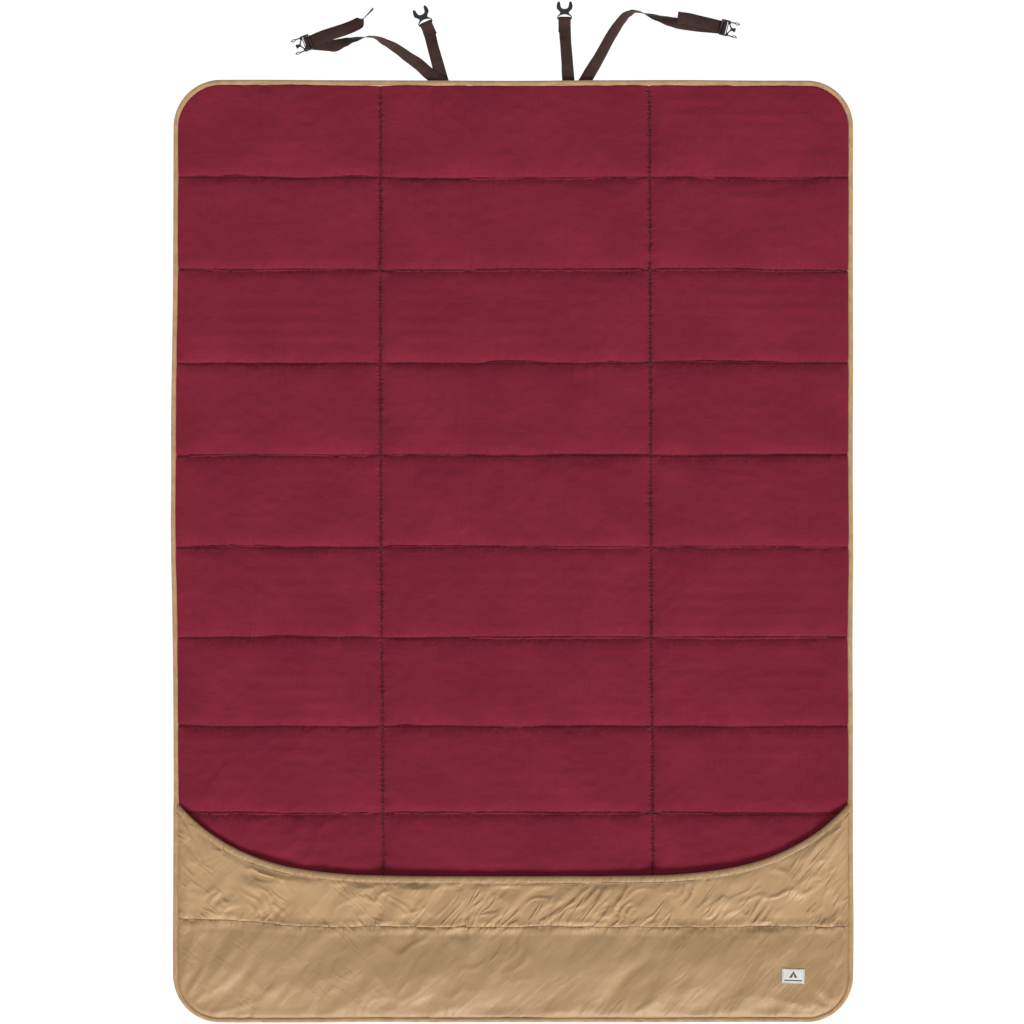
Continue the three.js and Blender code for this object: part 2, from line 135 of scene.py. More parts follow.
def outline_half_width(y, inset):
    """Half the blanket's width at y, moved in from the edge by the inset."""
    past = np.maximum(np.abs(y) - (HALF_LENGTH - CORNER_RADIUS), 0)
    radius = CORNER_RADIUS - inset
    return HALF_WIDTH - CORNER_RADIUS + np.sqrt(np.maximum(radius**2 - past**2, 0))


def edge_distance(x, y):
    """How far a point is inside the rounded outline."""
    across = np.abs(x) - (HALF_WIDTH - CORNER_RADIUS)
    along = np.abs(y) - (HALF_LENGTH - CORNER_RADIUS)
    corner = np.hypot(np.maximum(across, 0), np.maximum(along, 0))
    return CORNER_RADIUS - corner - np.minimum(np.maximum(across, along), 0)


def settled(points):
    """The small shifts in plan of a blanket spread by hand: its edges are not dead straight."""
    x, y = points[..., 0], points[..., 1]
    left = smoothstep(0.2, -HALF_WIDTH, x)
    right = smoothstep(-0.2, HALF_WIDTH, x)
    head = smoothstep(0, HALF_LENGTH, y)
    foot = smoothstep(0, -HALF_LENGTH, y)
    dx = left * (1.3 * MM * noise(y / 0.16, 3.5, 11) - 6 * MM * np.exp(-(((y - 0.17) / 0.3) ** 2)))
    dx = dx + right * (1.4 * MM * noise(y / 0.19, 1.5, 12) + 4.5 * MM)
    dy = head * (1.8 * MM * noise(x / 0.17, 2.5, 13) + 2 * MM)
    dy = dy - foot * (1.5 * MM * noise(x / 0.14, 4.5, 14) + 1 * MM)
    moved = points.copy()
    moved[..., 0] = x + dx
    moved[..., 1] = y + dy
    return moved


def row_y(row):
    """The seams that run across; they draw very slightly together towards the foot."""
    return FIRST_ROW_Y - ROW_PITCH * row + 0.01 * MM * row**4


def row_wander(x, row=0):
    return 2.0 * MM * noise(x / 0.11, row * 3.1, 21) + 0.7 * MM * noise(x / 0.035, row * 5.3, 22)


def left_seam_x(y):
    return LEFT_FOLD_X - 4 * MM * y / HALF_LENGTH + 1.2 * MM * noise(y / 0.12, 0.5, 23)


def right_seam_x(y):
    return RIGHT_FOLD_X - 1 * MM - 4.5 * MM * y / HALF_LENGTH + 1.2 * MM * noise(y / 0.12, 7.5, 24)


def row_number(x, y):
    """Whole on each seam that runs across, counted from the head; kept off the binding's own seams."""
    rows = np.arange(-2, LAST_ROW + 3)
    places = row_y(rows.astype(float))
    rough = np.interp(-y, -places, rows)
    exact = np.interp(-(y - row_wander(x, np.round(rough))), -places, rows)
    return np.clip(exact, -0.46, LAST_ROW + 0.46)


def row_distance(x, y):
    row = row_number(x, y)
    return np.abs(row - np.round(row)) * ROW_PITCH


def seam_gap(x, y):
    """Distance in plan from the nearest quilt seam."""
    upright = np.minimum(np.abs(x - left_seam_x(y)), np.abs(x - right_seam_x(y)))
    return np.minimum(row_distance(x, y), upright)


def mouth_y(x):
    return MOUTH_LOW_Y + MOUTH_RISE * (np.abs(x) / MOUTH_HALF_WIDTH) ** MOUTH_POWER


def mouth_slope(x):
    along = np.abs(x) / MOUTH_HALF_WIDTH
    return np.sign(x) * MOUTH_POWER * MOUTH_RISE * along ** (MOUTH_POWER - 1) / MOUTH_HALF_WIDTH


def hem_gap(x, y):
    """Distance from the pocket's hem towards the foot."""
    return (mouth_y(x) - HEM_WIDTH - y) / np.hypot(1, mouth_slope(x))


def pocket_seam_y(x):
    level = MOUTH_LOW_Y - 102 * MM + 15 * MM * smoothstep(-0.3, -0.68, x)
    return level + 2.2 * MM * noise(x / 0.09, 0.5, 31) + 1 * MM * noise(x / 0.03, 1, 32)


def pucker(along, away, seed, spacing):
    """Short creases that leave a seam at right angles and die away from it."""
    fan = along / spacing + 0.5 * noise(along / 0.05, away / 0.03, seed + 1)
    reach = 9 * MM + 9 * MM * (1 + noise(along / 0.03, 0.5, seed + 2))
    crease = 1 - 2 * np.abs(noise(fan, 0.5, seed))
    rise = np.minimum(away / (3 * MM), 1)
    return crease * rise * np.exp(-away / reach)


# ------------------------------------------------------------------ height of each layer

def puff(distance, reach=16 * MM):
    return (1 - np.exp(-np.maximum(distance, 0) / reach)) ** 0.8


def plump(distance):
    """The rise from a quilt seam: steep beside it and level further in."""
    along = np.maximum(distance, 0) / (21 * MM)
    return (1 - np.exp(-along - 0.5 * along**2)) ** 0.8


def drawn_creases(x, y):
    """Slanting wrinkles of the lining, in the four places where it is drawn out of true."""
    head = smoothstep(0.74, 0.86, y) * smoothstep(LEFT_FOLD_X - 0.02, LEFT_FOLD_X + 0.08, x)
    head = head * smoothstep(0.1, -0.1, x)
    beside_right = smoothstep(0, 0.03, x - RIGHT_FOLD_X) * np.exp(-np.maximum(x - RIGHT_FOLD_X, 0) / 0.11)
    lower_right = beside_right * smoothstep(0.15, -0.25, y)
    spot = np.exp(-(((x - 0.24) / 0.07) ** 2 + ((y - 0.6) / 0.1) ** 2))
    upper_right = beside_right * smoothstep(0.7, 0.85, y) + 0.5 * spot
    lower_left = smoothstep(-0.2, -0.5, y) * smoothstep(LEFT_FOLD_X + 0.02, LEFT_FOLD_X - 0.12, x)
    total = 0
    for share, lean, spacing, seed in (
        (head, -40, 34 * MM, 301),
        (lower_right, 36, 26 * MM, 311),
        (upper_right, -52, 30 * MM, 321),
        (lower_left, 46, 34 * MM, 331),
    ):
        total = total + share * crisp_creases(x, y, lean, spacing, seed, 0.4, 150 * MM)
    inside = smoothstep(BINDING_WIDTH, 40 * MM, edge_distance(x, y))
    return 1.8 * MM * total * inside * smoothstep(0, 16 * MM, row_distance(x, y))


def liner_height(x, y):
    rows = row_distance(x, y)
    left, right = np.abs(x - left_seam_x(y)), np.abs(x - right_seam_x(y))
    edge = edge_distance(x, y) - BINDING_WIDTH
    fill = plump(rows) * plump(left) * plump(right) * puff(edge + 4 * MM, 22 * MM)
    under_pocket = smoothstep(mouth_y(x) + 30 * MM, mouth_y(x) - 20 * MM, y)
    fill = fill * (1 - 0.45 * under_pocket)
    height = SEAM_HEIGHT + (EDGE_HEIGHT - SEAM_HEIGHT) * np.exp(-np.maximum(edge, 0) / (12 * MM))
    height = height + PUFF_HEIGHT * fill
    height = height + 1.1 * MM * fill * noise(x / 0.11, y / 0.09, 41)
    height = height + 0.6 * MM * fill * noise(x / 0.045, y / 0.05, 42)
    for crease_x, depth in ((SPLIT_X, 0.9 * MM), (100 * MM, 0.8 * MM)):
        height = height - depth * np.exp(-(((x - crease_x) / (5 * MM)) ** 2)) * fill
    away = ~(np.abs(x - SPLIT_X) < 2 * MM)
    creases = 0.9 * MM * pucker(x, rows, 51, 19 * MM)
    creases = creases + 1.2 * MM * (pucker(y, left, 54, 13 * MM) + pucker(y, right, 57, 13 * MM))
    creases = creases + 0.8 * MM * pucker(x + y, np.maximum(edge, 0), 61, 14 * MM)
    return height + creases * away


def shell_height(x, y):
    """Underside of the blanket: flat on the floor, drawn up a little in the seams."""
    near = seam_gap(x, y)
    edge = edge_distance(x, y)
    lift = 2.2 * MM * np.exp(-near / (5 * MM)) + 1.6 * MM * np.exp(-np.maximum(edge - 5 * MM, 0) / (7 * MM))
    ripple = 0.35 * MM * (1 + noise(x / 0.05, y / 0.05, 71)) + 0.4 * MM * pucker(x, near, 72, 13 * MM)
    return np.maximum(lift + ripple * (1 - np.exp(-near / (10 * MM))), 0.05 * MM)


def turned(x, y, lean):
    """A point along and across a direction that leans by this many degrees from +X."""
    angle = math.radians(lean)
    return x * math.cos(angle) + y * math.sin(angle), x * math.sin(angle) - y * math.cos(angle)


def crisp_creases(x, y, lean, spacing, seed, wander=0.9, length=60 * MM):
    """Narrow ridges that run at the lean, each about as long as the length."""
    along, across = turned(x, y, lean)
    bent = across / spacing + wander * noise(along / 0.045, across / 0.05, seed + 1)
    ridge = np.abs(noise(bent, along / length, seed))
    strength = np.maximum(0.35 + 0.9 * noise(along / 0.06, across / 0.06, seed + 2), 0)
    return np.maximum(1 - 2.8 * ridge, -0.3) * strength


def broad_folds(x, y, lean, spacing, seed):
    """Soft rounded folds that run at the lean and wander."""
    along, across = turned(x, y, lean)
    bent = across / spacing + 0.7 * noise(along / 0.13, across / 0.12, seed + 1)
    fold = noise(bent, along / (spacing * 3.2), seed)
    return fold * (1 + 0.5 * np.abs(fold))


def corner_creases(x, y):
    """Creases that spread from the two foot corners."""
    total = 0
    for corner_x, seed in ((-HALF_WIDTH, 193), (HALF_WIDTH, 195)):
        dx, dy = np.abs(x - corner_x) + 5 * MM, y + HALF_LENGTH + 5 * MM
        reach = np.hypot(dx, dy)
        turn = np.arctan2(dy, dx) * 5 + 0.5 * noise(reach / 0.06, 0.5, seed + 1)
        total = total + (1 - 2.4 * np.abs(noise(turn, reach / 0.2, seed))) * np.exp(-reach / 0.11)
    return total


def pocket_creases(x, y):
    """Wrinkles of the pocket: crisp and slanting above its seam, broad and soft below it."""
    right = smoothstep(-0.3, -0.1, x)
    seam = y - pocket_seam_y(x)
    hem = hem_gap(x, y)
    edge = smoothstep(6 * MM, 30 * MM, edge_distance(x, y))
    above = smoothstep(0, 12 * MM, seam)
    below = smoothstep(0, -16 * MM, seam)
    crisp = right * crisp_creases(x, y, 50, 15 * MM, 131)
    crisp = crisp + (1 - right) * crisp_creases(x, y, -42, 15 * MM, 141)
    crisp = crisp + 0.7 * crisp_creases(x, y, 38, 24 * MM, 151)
    upper = crisp * 3.6 * MM + broad_folds(x, y, 55, 34 * MM, 191) * 3 * MM
    upper = above * smoothstep(0, 12 * MM, hem) * edge * upper
    soft = broad_folds(x, y, 42, 44 * MM, 161) * 3.8 * MM + broad_folds(x, y, 62, 26 * MM, 171) * 1.4 * MM
    soft = soft + crisp_creases(x, y, 46, 30 * MM, 181) * 1.7 * MM
    rays = 2.2 * MM * pucker(x, np.maximum(edge_distance(x, y) - BINDING_WIDTH, 0), 197, 17 * MM)
    rays = rays + 4.5 * MM * corner_creases(x, y) * smoothstep(BINDING_WIDTH, 26 * MM, edge_distance(x, y))
    return upper + below * (edge * soft + rays)


def pocket_height(x, y):
    seam = np.abs(y - pocket_seam_y(x))
    edge = edge_distance(x, y) - BINDING_WIDTH + 4 * MM
    hem = hem_gap(x, y)
    fill = puff(edge - 2 * MM, 12 * MM)
    groove = 1 - 0.17 * np.exp(-seam / (9 * MM))
    shoulder = 1 - 0.22 * np.exp(-np.maximum(hem, 0) / (14 * MM))
    height = 9 * MM + 11.5 * MM * fill * groove * shoulder
    return height + 1.2 * MM * fill * noise(x / 0.1, y / 0.07, 81)


# ------------------------------------------------------------------ meshes

def mesh_object(name, vertices, faces, smooth_angle=50):
    mesh = bpy.data.meshes.new(name)
    mesh.from_pydata(np.asarray(vertices, float).tolist(), [], [list(map(int, f)) for f in faces])
    mesh.validate()
    piece = bpy.data.objects.new(name, mesh)
    bpy.context.scene.collection.objects.link(piece)
    mesh.polygons.foreach_set("use_smooth", np.ones(len(mesh.polygons), bool))
    mesh.set_sharp_from_angle(angle=math.radians(smooth_angle))
    return piece


def grid_faces(rows, columns, offset=0):
    """Quads of a grid of rows by columns, in reading order."""
    row, column = np.arange(rows - 1), np.arange(columns - 1)
    a = (row[:, None] * columns + column[None, :]).ravel()
    return np.stack([a, a + 1, a + columns + 1, a + columns], 1) + offset


def border(rows, columns, offset=0):
    """The outer loop of a grid's point numbers, starting at its first point."""
    grid = np.arange(rows * columns).reshape(rows, columns) + offset
    return np.concatenate([grid[0, :-1], grid[:-1, -1], grid[-1, :0:-1], grid[:0:-1, 0]])


def rim_faces(rows, columns):
    """The walls between the upper and lower grids of a closed sheet."""
    loop = border(rows, columns)
    after = np.roll(loop, -1)
    under = rows * columns
    return np.stack([loop, loop + under, after + under, after], 1)


def closed_sheet(name, upper, lower):
    """A thin closed cloth from two grids of points, each of shape (rows, columns, 3)."""
    rows, columns = upper.shape[:2]
    vertices = np.concatenate([upper.reshape(-1, 3), lower.reshape(-1, 3)])
    top = grid_faces(rows, columns)
    bottom = grid_faces(rows, columns, rows * columns)[:, ::-1]
    return mesh_object(name, vertices, np.concatenate([top, bottom, rim_faces(rows, columns)]))


def lined_sheet(name, upper, lower):
    """A thin closed cloth whose upper grid has BACKING_RATIO times the points of its lower one each way."""
    rows, columns = upper.shape[:2]
    coarse_rows, coarse_columns = lower.shape[:2]
    under = rows * columns
    vertices = np.concatenate([upper.reshape(-1, 3), lower.reshape(-1, 3)])
    faces = grid_faces(rows, columns).tolist()
    faces += grid_faces(coarse_rows, coarse_columns, under)[:, ::-1].tolist()
    fine = border(rows, columns)
    coarse = border(coarse_rows, coarse_columns, under)
    for i in range(len(coarse)):
        span = [int(fine[(i * BACKING_RATIO + k) % len(fine)]) for k in range(BACKING_RATIO + 1)]
        faces.append(span[::-1] + [int(coarse[i]), int(coarse[(i + 1) % len(coarse)])])
    return mesh_object(name, vertices, faces)


def float_attribute(piece, name, values):
    layer = piece.data.attributes.new(name, "FLOAT", "POINT")
    layer.data.foreach_set("value", np.asarray(values, np.float32).ravel())


def on_both_faces(piece, name, values):
    """A value for each point of a closed sheet that is the same above and below."""
    float_attribute(piece, name, np.concatenate([values.ravel(), values.ravel()]))


def lowered(points, drop):
    below = points.copy()
    below[..., 2] -= drop
    return below


# ------------------------------------------------------------------ grids over the body

def whole_steps(length, step):
    """How many steps fill the length, as a multiple of the backing ratio."""
    return BACKING_RATIO * int(math.ceil(length / step / BACKING_RATIO))


def body_rows(inset, step):
    """Row places from foot to head; round the corners they are even along the arc."""
    straight = HALF_LENGTH - CORNER_RADIUS
    radius = CORNER_RADIUS - inset
    turns = np.linspace(0, math.pi / 2, whole_steps(radius * math.pi / 2, step) + 1)[1:]
    corner = straight + radius * np.sin(turns)
    middle = np.linspace(-straight, straight, whole_steps(2 * straight, step) + 1)
    return np.concatenate([-corner[::-1], middle, corner])


def body_columns(side, low, high, count):
    """Shares of the width, from 0 to 1, that lie closer together where the cloth folds."""
    fold = LEFT_FOLD_X if side == "left" else RIGHT_FOLD_X
    share = np.linspace(0, 1, 3000)
    closeness = 1 + 3 * np.exp(-(((low + (high - low) * share - fold) / (22 * MM)) ** 2))
    total = np.cumsum(closeness)
    total = (total - total[0]) / (total[-1] - total[0])
    return np.interp(np.linspace(0, 1, count + 1), total, share)


def body_grid(side, inset, step):
    """Plan positions of one piece of a body cover: (rows, columns, 2)."""
    rows = body_rows(inset, step)
    half = outline_half_width(rows, inset)
    low = -half if side == "left" else np.full_like(half, SPLIT_X)
    high = np.full_like(half, SPLIT_X) if side == "left" else half
    widest = float((high - low).max())
    u = body_columns(side, float(low.min()), float(high.max()), whole_steps(widest, step))
    x = low[:, None] + (high - low)[:, None] * u[None, :]
    y = np.repeat(rows[:, None], len(u), 1)
    return x, y


# ------------------------------------------------------------------ cloth simulation

def prepare_cloth(points, rest, pinned, pressure, bending):
    """A grid of cloth ready to find its folds. Its threads have the lengths they have in rest, and the
    pinned points, the seams, stay where they are."""
    rows, columns = points.shape[:2]
    piece = mesh_object("cloth_at_work", points.reshape(-1, 3), grid_faces(rows, columns))
    piece.shape_key_add(name="Basis")
    cut = piece.shape_key_add(name="cut")
    cut.data.foreach_set("co", rest.astype(np.float32).ravel())
    cut.value = 0
    group = piece.vertex_groups.new(name="seams")
    group.add(np.flatnonzero(pinned.ravel()).tolist(), 1.0, "REPLACE")
    cloth = piece.modifiers.new("Cloth", "CLOTH")
    settings = cloth.settings
    settings.quality = 4
    settings.mass = 0.15
    settings.tension_stiffness = 12
    settings.compression_stiffness = 12
    settings.shear_stiffness = 6
    settings.bending_stiffness = bending
    settings.tension_damping = 8
    settings.compression_damping = 8
    settings.shear_damping = 8
    settings.air_damping = 2
    settings.effector_weights.gravity = 0
    settings.vertex_group_mass = "seams"
    settings.rest_shape_key = cut
    settings.use_pressure = True
    settings.uniform_pressure_force = pressure
    cloth.collision_settings.use_collision = False
    cloth.collision_settings.use_self_collision = False
    cloth.point_cache.frame_start = 1
    cloth.point_cache.frame_end = SETTLING_FRAMES
    return piece


def settle(pieces):
    """Steps the simulation and returns where each cloth's points come to rest, without the cloths."""
    scene = bpy.context.scene
    for step in range(1, SETTLING_FRAMES + 1):
        scene.frame_set(step)
    graph = bpy.context.evaluated_depsgraph_get()
    results = []
    for piece in pieces:
        evaluated = piece.evaluated_get(graph)
        places = np.empty(len(evaluated.data.vertices) * 3, np.float32)
        evaluated.data.vertices.foreach_get("co", places)
        results.append(places.astype(float).reshape(-1, 3))
    scene.frame_set(1)
    for piece in pieces:
        mesh = piece.data
        bpy.data.objects.remove(piece)
        bpy.data.meshes.remove(mesh)
    return results


def resampled(grid, rows, columns):
    """A grid's values at fractional row and column numbers, by a smooth cubic."""
    def weights(t):
        return [
            -0.5 * t + t**2 - 0.5 * t**3,
            1 - 2.5 * t**2 + 1.5 * t**3,
            0.5 * t + 2 * t**2 - 1.5 * t**3,
            -0.5 * t**2 + 0.5 * t**3,
        ]

    i = np.clip(np.floor(rows).astype(int), 0, grid.shape[0] - 2)
    j = np.clip(np.floor(columns).astype(int), 0, grid.shape[1] - 2)
    wi, wj = weights(rows - i), weights(columns - j)
    total = 0
    for a in range(4):
        for b in range(4):
            row = np.clip(i + a - 1, 0, grid.shape[0] - 1)
            column = np.clip(j + b - 1, 0, grid.shape[1] - 1)
            total = total + grid[row, column] * (wi[a] * wj[b])[..., None]
    return total


def liner_cloth():
    """The lining before it settles: its plain quilted shape, on a coarse grid over the whole body."""
    rows = np.linspace(-HALF_LENGTH, HALF_LENGTH, int(round(2 * HALF_LENGTH / LINER_STEP)) + 1)
    columns = np.linspace(-HALF_WIDTH, HALF_WIDTH, int(round(2 * HALF_WIDTH / LINER_STEP)) + 1)
    x, y = np.meshgrid(columns, rows)
    base = np.stack([x, y, liner_height(x, y)], -1)
    pinned = (seam_gap(x, y) < LINER_STEP * 0.55) | (edge_distance(x, y) < 14 * MM)
    rest = base.copy()
    rest[..., 0] = x * 1.006 + 1.2 * MM * noise(x / 0.05, y / 0.05, 91)
    rest[..., 1] = y * 1.004 + 1.2 * MM * noise(x / 0.05, y / 0.05, 92)
    return base, prepare_cloth(base, rest, pinned, pressure=0.04, bending=0.05)


def liner_shift(folds, x, y):
    if folds is None:
        return np.zeros(x.shape + (3,))
    rows = (y + HALF_LENGTH) / (2 * HALF_LENGTH) * (folds.shape[0] - 1)
    columns = (x + HALF_WIDTH) / (2 * HALF_WIDTH) * (folds.shape[1] - 1)
    return resampled(folds, rows, columns)


# ------------------------------------------------------------------ pocket grid and simulation

def pocket_columns(count):
    """Places across the pocket; round the foot corners they are even along the arc."""
    radius = CORNER_RADIUS - POCKET_INSET
    straight = HALF_WIDTH - CORNER_RADIUS
    step = (2 * straight + math.pi * radius) / (count - 1)
    turns = np.linspace(0, math.pi / 2, int(round(radius * math.pi / 2 / step)) + 1)[1:]
    corner = straight + radius * np.sin(turns)
    middle = np.linspace(-straight, straight, count - 2 * len(corner))
    return np.concatenate([-corner[::-1], middle, corner])


def pocket_plan(x, rows_up, rows_down):
    """Plan positions of the pocket between its hem and the foot edge: (rows, columns) of x and of y."""
    top = mouth_y(x) - HEM_WIDTH + 3 * MM
    seam = pocket_seam_y(x)
    past = np.maximum(np.abs(x) - (HALF_WIDTH - CORNER_RADIUS), 0)
    radius = CORNER_RADIUS - POCKET_INSET
    foot = -(HALF_LENGTH - CORNER_RADIUS + np.sqrt(np.maximum(radius**2 - past**2, 0)))
    lower = seam + (foot - seam) * np.linspace(1, 0, rows_down + 1)[:, None]
    upper = seam + (top - seam) * np.linspace(0, 1, rows_up + 1)[1:, None]
    y = np.concatenate([lower, upper])
    return np.repeat(x[None, :], len(y), 0), y


def pocket_cloth_start():
    """The pocket's cloth before it settles. The seam gathers it, so it has cloth to spare beside it."""
    x, y = pocket_plan(pocket_columns(POCKET_COLUMNS), POCKET_UPPER, POCKET_LOWER)
    base = np.stack([x, y, pocket_height(x, y)], -1)
    base[..., 2] += 0.5 * MM * noise(x / 0.015, y / 0.015, 95)
    pinned = np.zeros(x.shape, bool)
    pinned[[0, -1], :] = True
    pinned[:, [0, -1]] = True
    pinned[POCKET_LOWER, :] = True
    pinned |= edge_distance(x, y) < 12 * MM
    gather = np.exp(-np.abs(y - pocket_seam_y(x)) / (60 * MM))
    rest = base.copy()
    rest[..., 0] = x * (1.006 + 0.034 * gather)
    rest[..., 1] = pocket_seam_y(x) + (y - pocket_seam_y(x)) * 1.03
    return base, prepare_cloth(base, rest, pinned, pressure=0.3, bending=0.02)


def settled_folds():
    """How far the lining and the pocket move off their plain shapes as they settle."""
    starts = [liner_cloth(), pocket_cloth_start()]
    results = settle([piece for _, piece in starts])
    return [
        np.clip(places.reshape(base.shape) - base, -8 * MM, 8 * MM)
        for (base, _), places in zip(starts, results)
    ]


# ------------------------------------------------------------------ materials

def linear(*colour):
    """A colour from 0 to 255 as the linear values that shaders take."""
    shares = [c / 255 for c in colour]
    return [s / 12.92 if s <= 0.04045 else ((s + 0.055) / 1.055) ** 2.4 for s in shares] + [1]


def tinted(colour, factor):
    return linear(*(min(c * factor, 255) for c in colour))


class Shader:
    """A material's nodes, with short calls for the ones used here."""

    def __init__(self, name):
        self.material = bpy.data.materials.new(name)
        self.material.use_nodes = True
        self.nodes = self.material.node_tree.nodes
        self.links = self.material.node_tree.links
        self.surface = self.nodes["Principled BSDF"]
        self.place = self.nodes.new("ShaderNodeTexCoord").outputs["Object"]

    def feed(self, socket, value):
        if isinstance(value, bpy.types.NodeSocket):
            self.links.new(value, socket)
        elif value is not None:
            socket.default_value = value

    def set(self, name, value):
        self.feed(self.surface.inputs[name], value)

    def math(self, operation, a, b=None):
        node = self.nodes.new("ShaderNodeMath")
        node.operation = operation
        for socket, value in zip(node.inputs, (a, b)):
            self.feed(socket, value)
        return node.outputs[0]

    def attribute(self, name):
        node = self.nodes.new("ShaderNodeAttribute")
        node.attribute_name = name
        return node.outputs["Fac"]

    def scaled(self, sx, sy, sz, lean=0.0):
        """Places in the piece, first along and across a lean in degrees, and then scaled."""
        place = self.place
        if lean:
            turn = self.nodes.new("ShaderNodeMapping")
            self.feed(turn.inputs["Vector"], place)
            turn.inputs["Rotation"].default_value = (0, 0, math.radians(-lean))
            place = turn.outputs[0]
        node = self.nodes.new("ShaderNodeMapping")
        self.feed(node.inputs["Vector"], place)
        node.inputs["Scale"].default_value = (sx, sy, sz)
        return node.outputs[0]

    def noise(self, vector, scale=1.0, detail=2.0, roughness=0.5, distortion=0.0):
        node = self.nodes.new("ShaderNodeTexNoise")
        self.feed(node.inputs["Vector"], vector)
        node.inputs["Scale"].default_value = scale
        node.inputs["Detail"].default_value = detail
        node.inputs["Roughness"].default_value = roughness
        node.inputs["Distortion"].default_value = distortion
        return node.outputs["Fac"]

    def creased(self, fine, long, lean):
        """Thin sharp ridges that run at the lean, in degrees."""
        value = self.noise(self.scaled(long, fine, 30, lean), detail=1, distortion=0.5)
        return self.ramp(self.math("ABSOLUTE", self.math("SUBTRACT", value, 0.5)), 0.0, 0.14, 1.0, 0.0)

    def weave(self, scale):
        """Crossing threads along X and Y."""
        threads = []
        for direction in ("X", "Y"):
            node = self.nodes.new("ShaderNodeTexWave")
            node.bands_direction = direction
            self.feed(node.inputs["Vector"], self.scaled(1, 1, 1))
            node.inputs["Scale"].default_value = scale
            threads.append(node.outputs["Fac"])
        return self.math("ADD", *threads)

    def ramp(self, value, low, high, to_low=0.0, to_high=1.0):
        node = self.nodes.new("ShaderNodeMapRange")
        node.interpolation_type = "SMOOTHSTEP"
        for name, given in (
            ("Value", value), ("From Min", low), ("From Max", high), ("To Min", to_low), ("To Max", to_high)
        ):
            self.feed(node.inputs[name], given)
        return node.outputs[0]

    def mix(self, share, a, b):
        node = self.nodes.new("ShaderNodeMix")
        node.data_type = "RGBA"
        self.feed(node.inputs[0], share)
        self.feed(node.inputs[6], a)
        self.feed(node.inputs[7], b)
        return node.outputs[2]

    def bump(self, height, distance, strength=1.0, normal=None):
        node = self.nodes.new("ShaderNodeBump")
        node.inputs["Distance"].default_value = distance
        node.inputs["Strength"].default_value = strength
        self.feed(node.inputs["Height"], height)
        self.feed(node.inputs["Normal"], normal)
        return node.outputs[0]


def seam_distance(shader):
    """Distances from the nearest quilt seam that runs across and from the one that runs along, from the
    values kept on the mesh."""
    row = shader.attribute("row")
    across = shader.math("ABSOLUTE", shader.math("SUBTRACT", row, shader.math("ROUND", row)))
    across = shader.math("MULTIPLY", across, ROW_PITCH)
    along = shader.math("ABSOLUTE", shader.attribute("column"))
    return across, along


def quilted_cloth(name, colour, dark, light, roughness, sheen, weave):
    """Woven cloth sewn in quilt lines: painted shade darkens the seam, with fine creases that leave it."""
    shader = Shader(name)
    across, along = seam_distance(shader)
    patches = shader.noise(shader.scaled(7, 9, 7), detail=3)
    mottled = shader.mix(shader.ramp(patches, 0.35, 0.68), linear(*dark), linear(*light))
    base = shader.mix(0.55, linear(*colour), mottled)
    fuzz = shader.noise(shader.scaled(420, 700, 500), detail=2)
    base = shader.mix(shader.ramp(fuzz, 0.3, 0.75, 0.0, 0.14), base, tinted(colour, 1.3))
    streaks = shader.noise(shader.scaled(22, 420, 60), detail=3)
    base = shader.mix(shader.ramp(streaks, 0.42, 0.7, 0.0, 0.1), base, tinted(colour, 1.22))
    base = shader.mix(shader.ramp(streaks, 0.5, 0.28, 0.0, 0.1), base, tinted(colour, 0.8))
    ragged = shader.ramp(shader.noise(shader.scaled(240, 240, 60), detail=3), 0.3, 0.7, -1.6 * MM, 1.6 * MM)
    uneven = shader.noise(shader.scaled(24, 24, 30), detail=2)
    across_line = shader.math("ADD", across, shader.math("MULTIPLY", ragged, 0.35))
    along_line = shader.math("ADD", along, ragged)
    line = shader.math("MINIMUM", across_line, along_line)
    width = shader.ramp(uneven, 0.35, 0.65, 1.6 * MM, 3.6 * MM)
    # Painted shade: groove darkens the cloth in a ragged band along each quilt seam, where the cloth rolls
    # in.
    groove = shader.ramp(line, 0.2 * MM, width, shader.ramp(uneven, 0.3, 0.6, 0.35, 0.75), 0.0)
    base = shader.mix(groove, base, tinted(colour, 0.62))
    creases_x = shader.ramp(shader.noise(shader.scaled(60, 14, 40), detail=2, distortion=0.8), 0.42, 0.66)
    creases_y = shader.ramp(shader.noise(shader.scaled(40, 150, 40), detail=2, distortion=0.8), 0.4, 0.64)
    fine_x = shader.math("MULTIPLY", creases_x, shader.ramp(across, 2 * MM, 26 * MM, 0.8, 0.0))
    reach = shader.ramp(uneven, 0.35, 0.65, 4 * MM, 14 * MM)
    fine_y = shader.math("MULTIPLY", creases_y, shader.ramp(along, 0.5 * MM, reach, 1.0, 0.0))
    fine = shader.math("ADD", fine_x, fine_y)
    shader.set("Base Color", base)
    shader.set("Roughness", shader.ramp(fuzz, 0.2, 0.8, roughness - 0.05, roughness + 0.05))
    shader.set("Sheen Weight", sheen)
    shader.set("Sheen Roughness", 0.5)
    shader.set("Specular IOR Level", 0.12)
    normal = shader.bump(shader.ramp(line, 0.0, 4.5 * MM), 1.5 * MM, 1.0)
    normal = shader.bump(fine, 1.5 * MM, 1.0, normal)
    drawn = shader.noise(shader.scaled(52, 4.5, 20), detail=1, distortion=1.2)
    drawn = shader.ramp(shader.math("ABSOLUTE", shader.math("SUBTRACT", drawn, 0.5)), 0.0, 0.025, 1.0, 0.0)
    sparse = shader.ramp(shader.noise(shader.scaled(9, 9, 9), detail=1), 0.5, 0.62)
    normal = shader.bump(shader.math("MULTIPLY", drawn, sparse), 0.5 * MM, 0.8, normal)
    rumpled = shader.noise(shader.scaled(26, 34, 30), detail=3, distortion=0.5)
    normal = shader.bump(rumpled, 2.8 * MM, 0.8, normal)
    normal = shader.bump(shader.weave(weave), 0.1 * MM, 0.5, normal)
    normal = shader.bump(streaks, 0.3 * MM, 0.5, normal)
    shader.set("Normal", normal)
    return shader.material


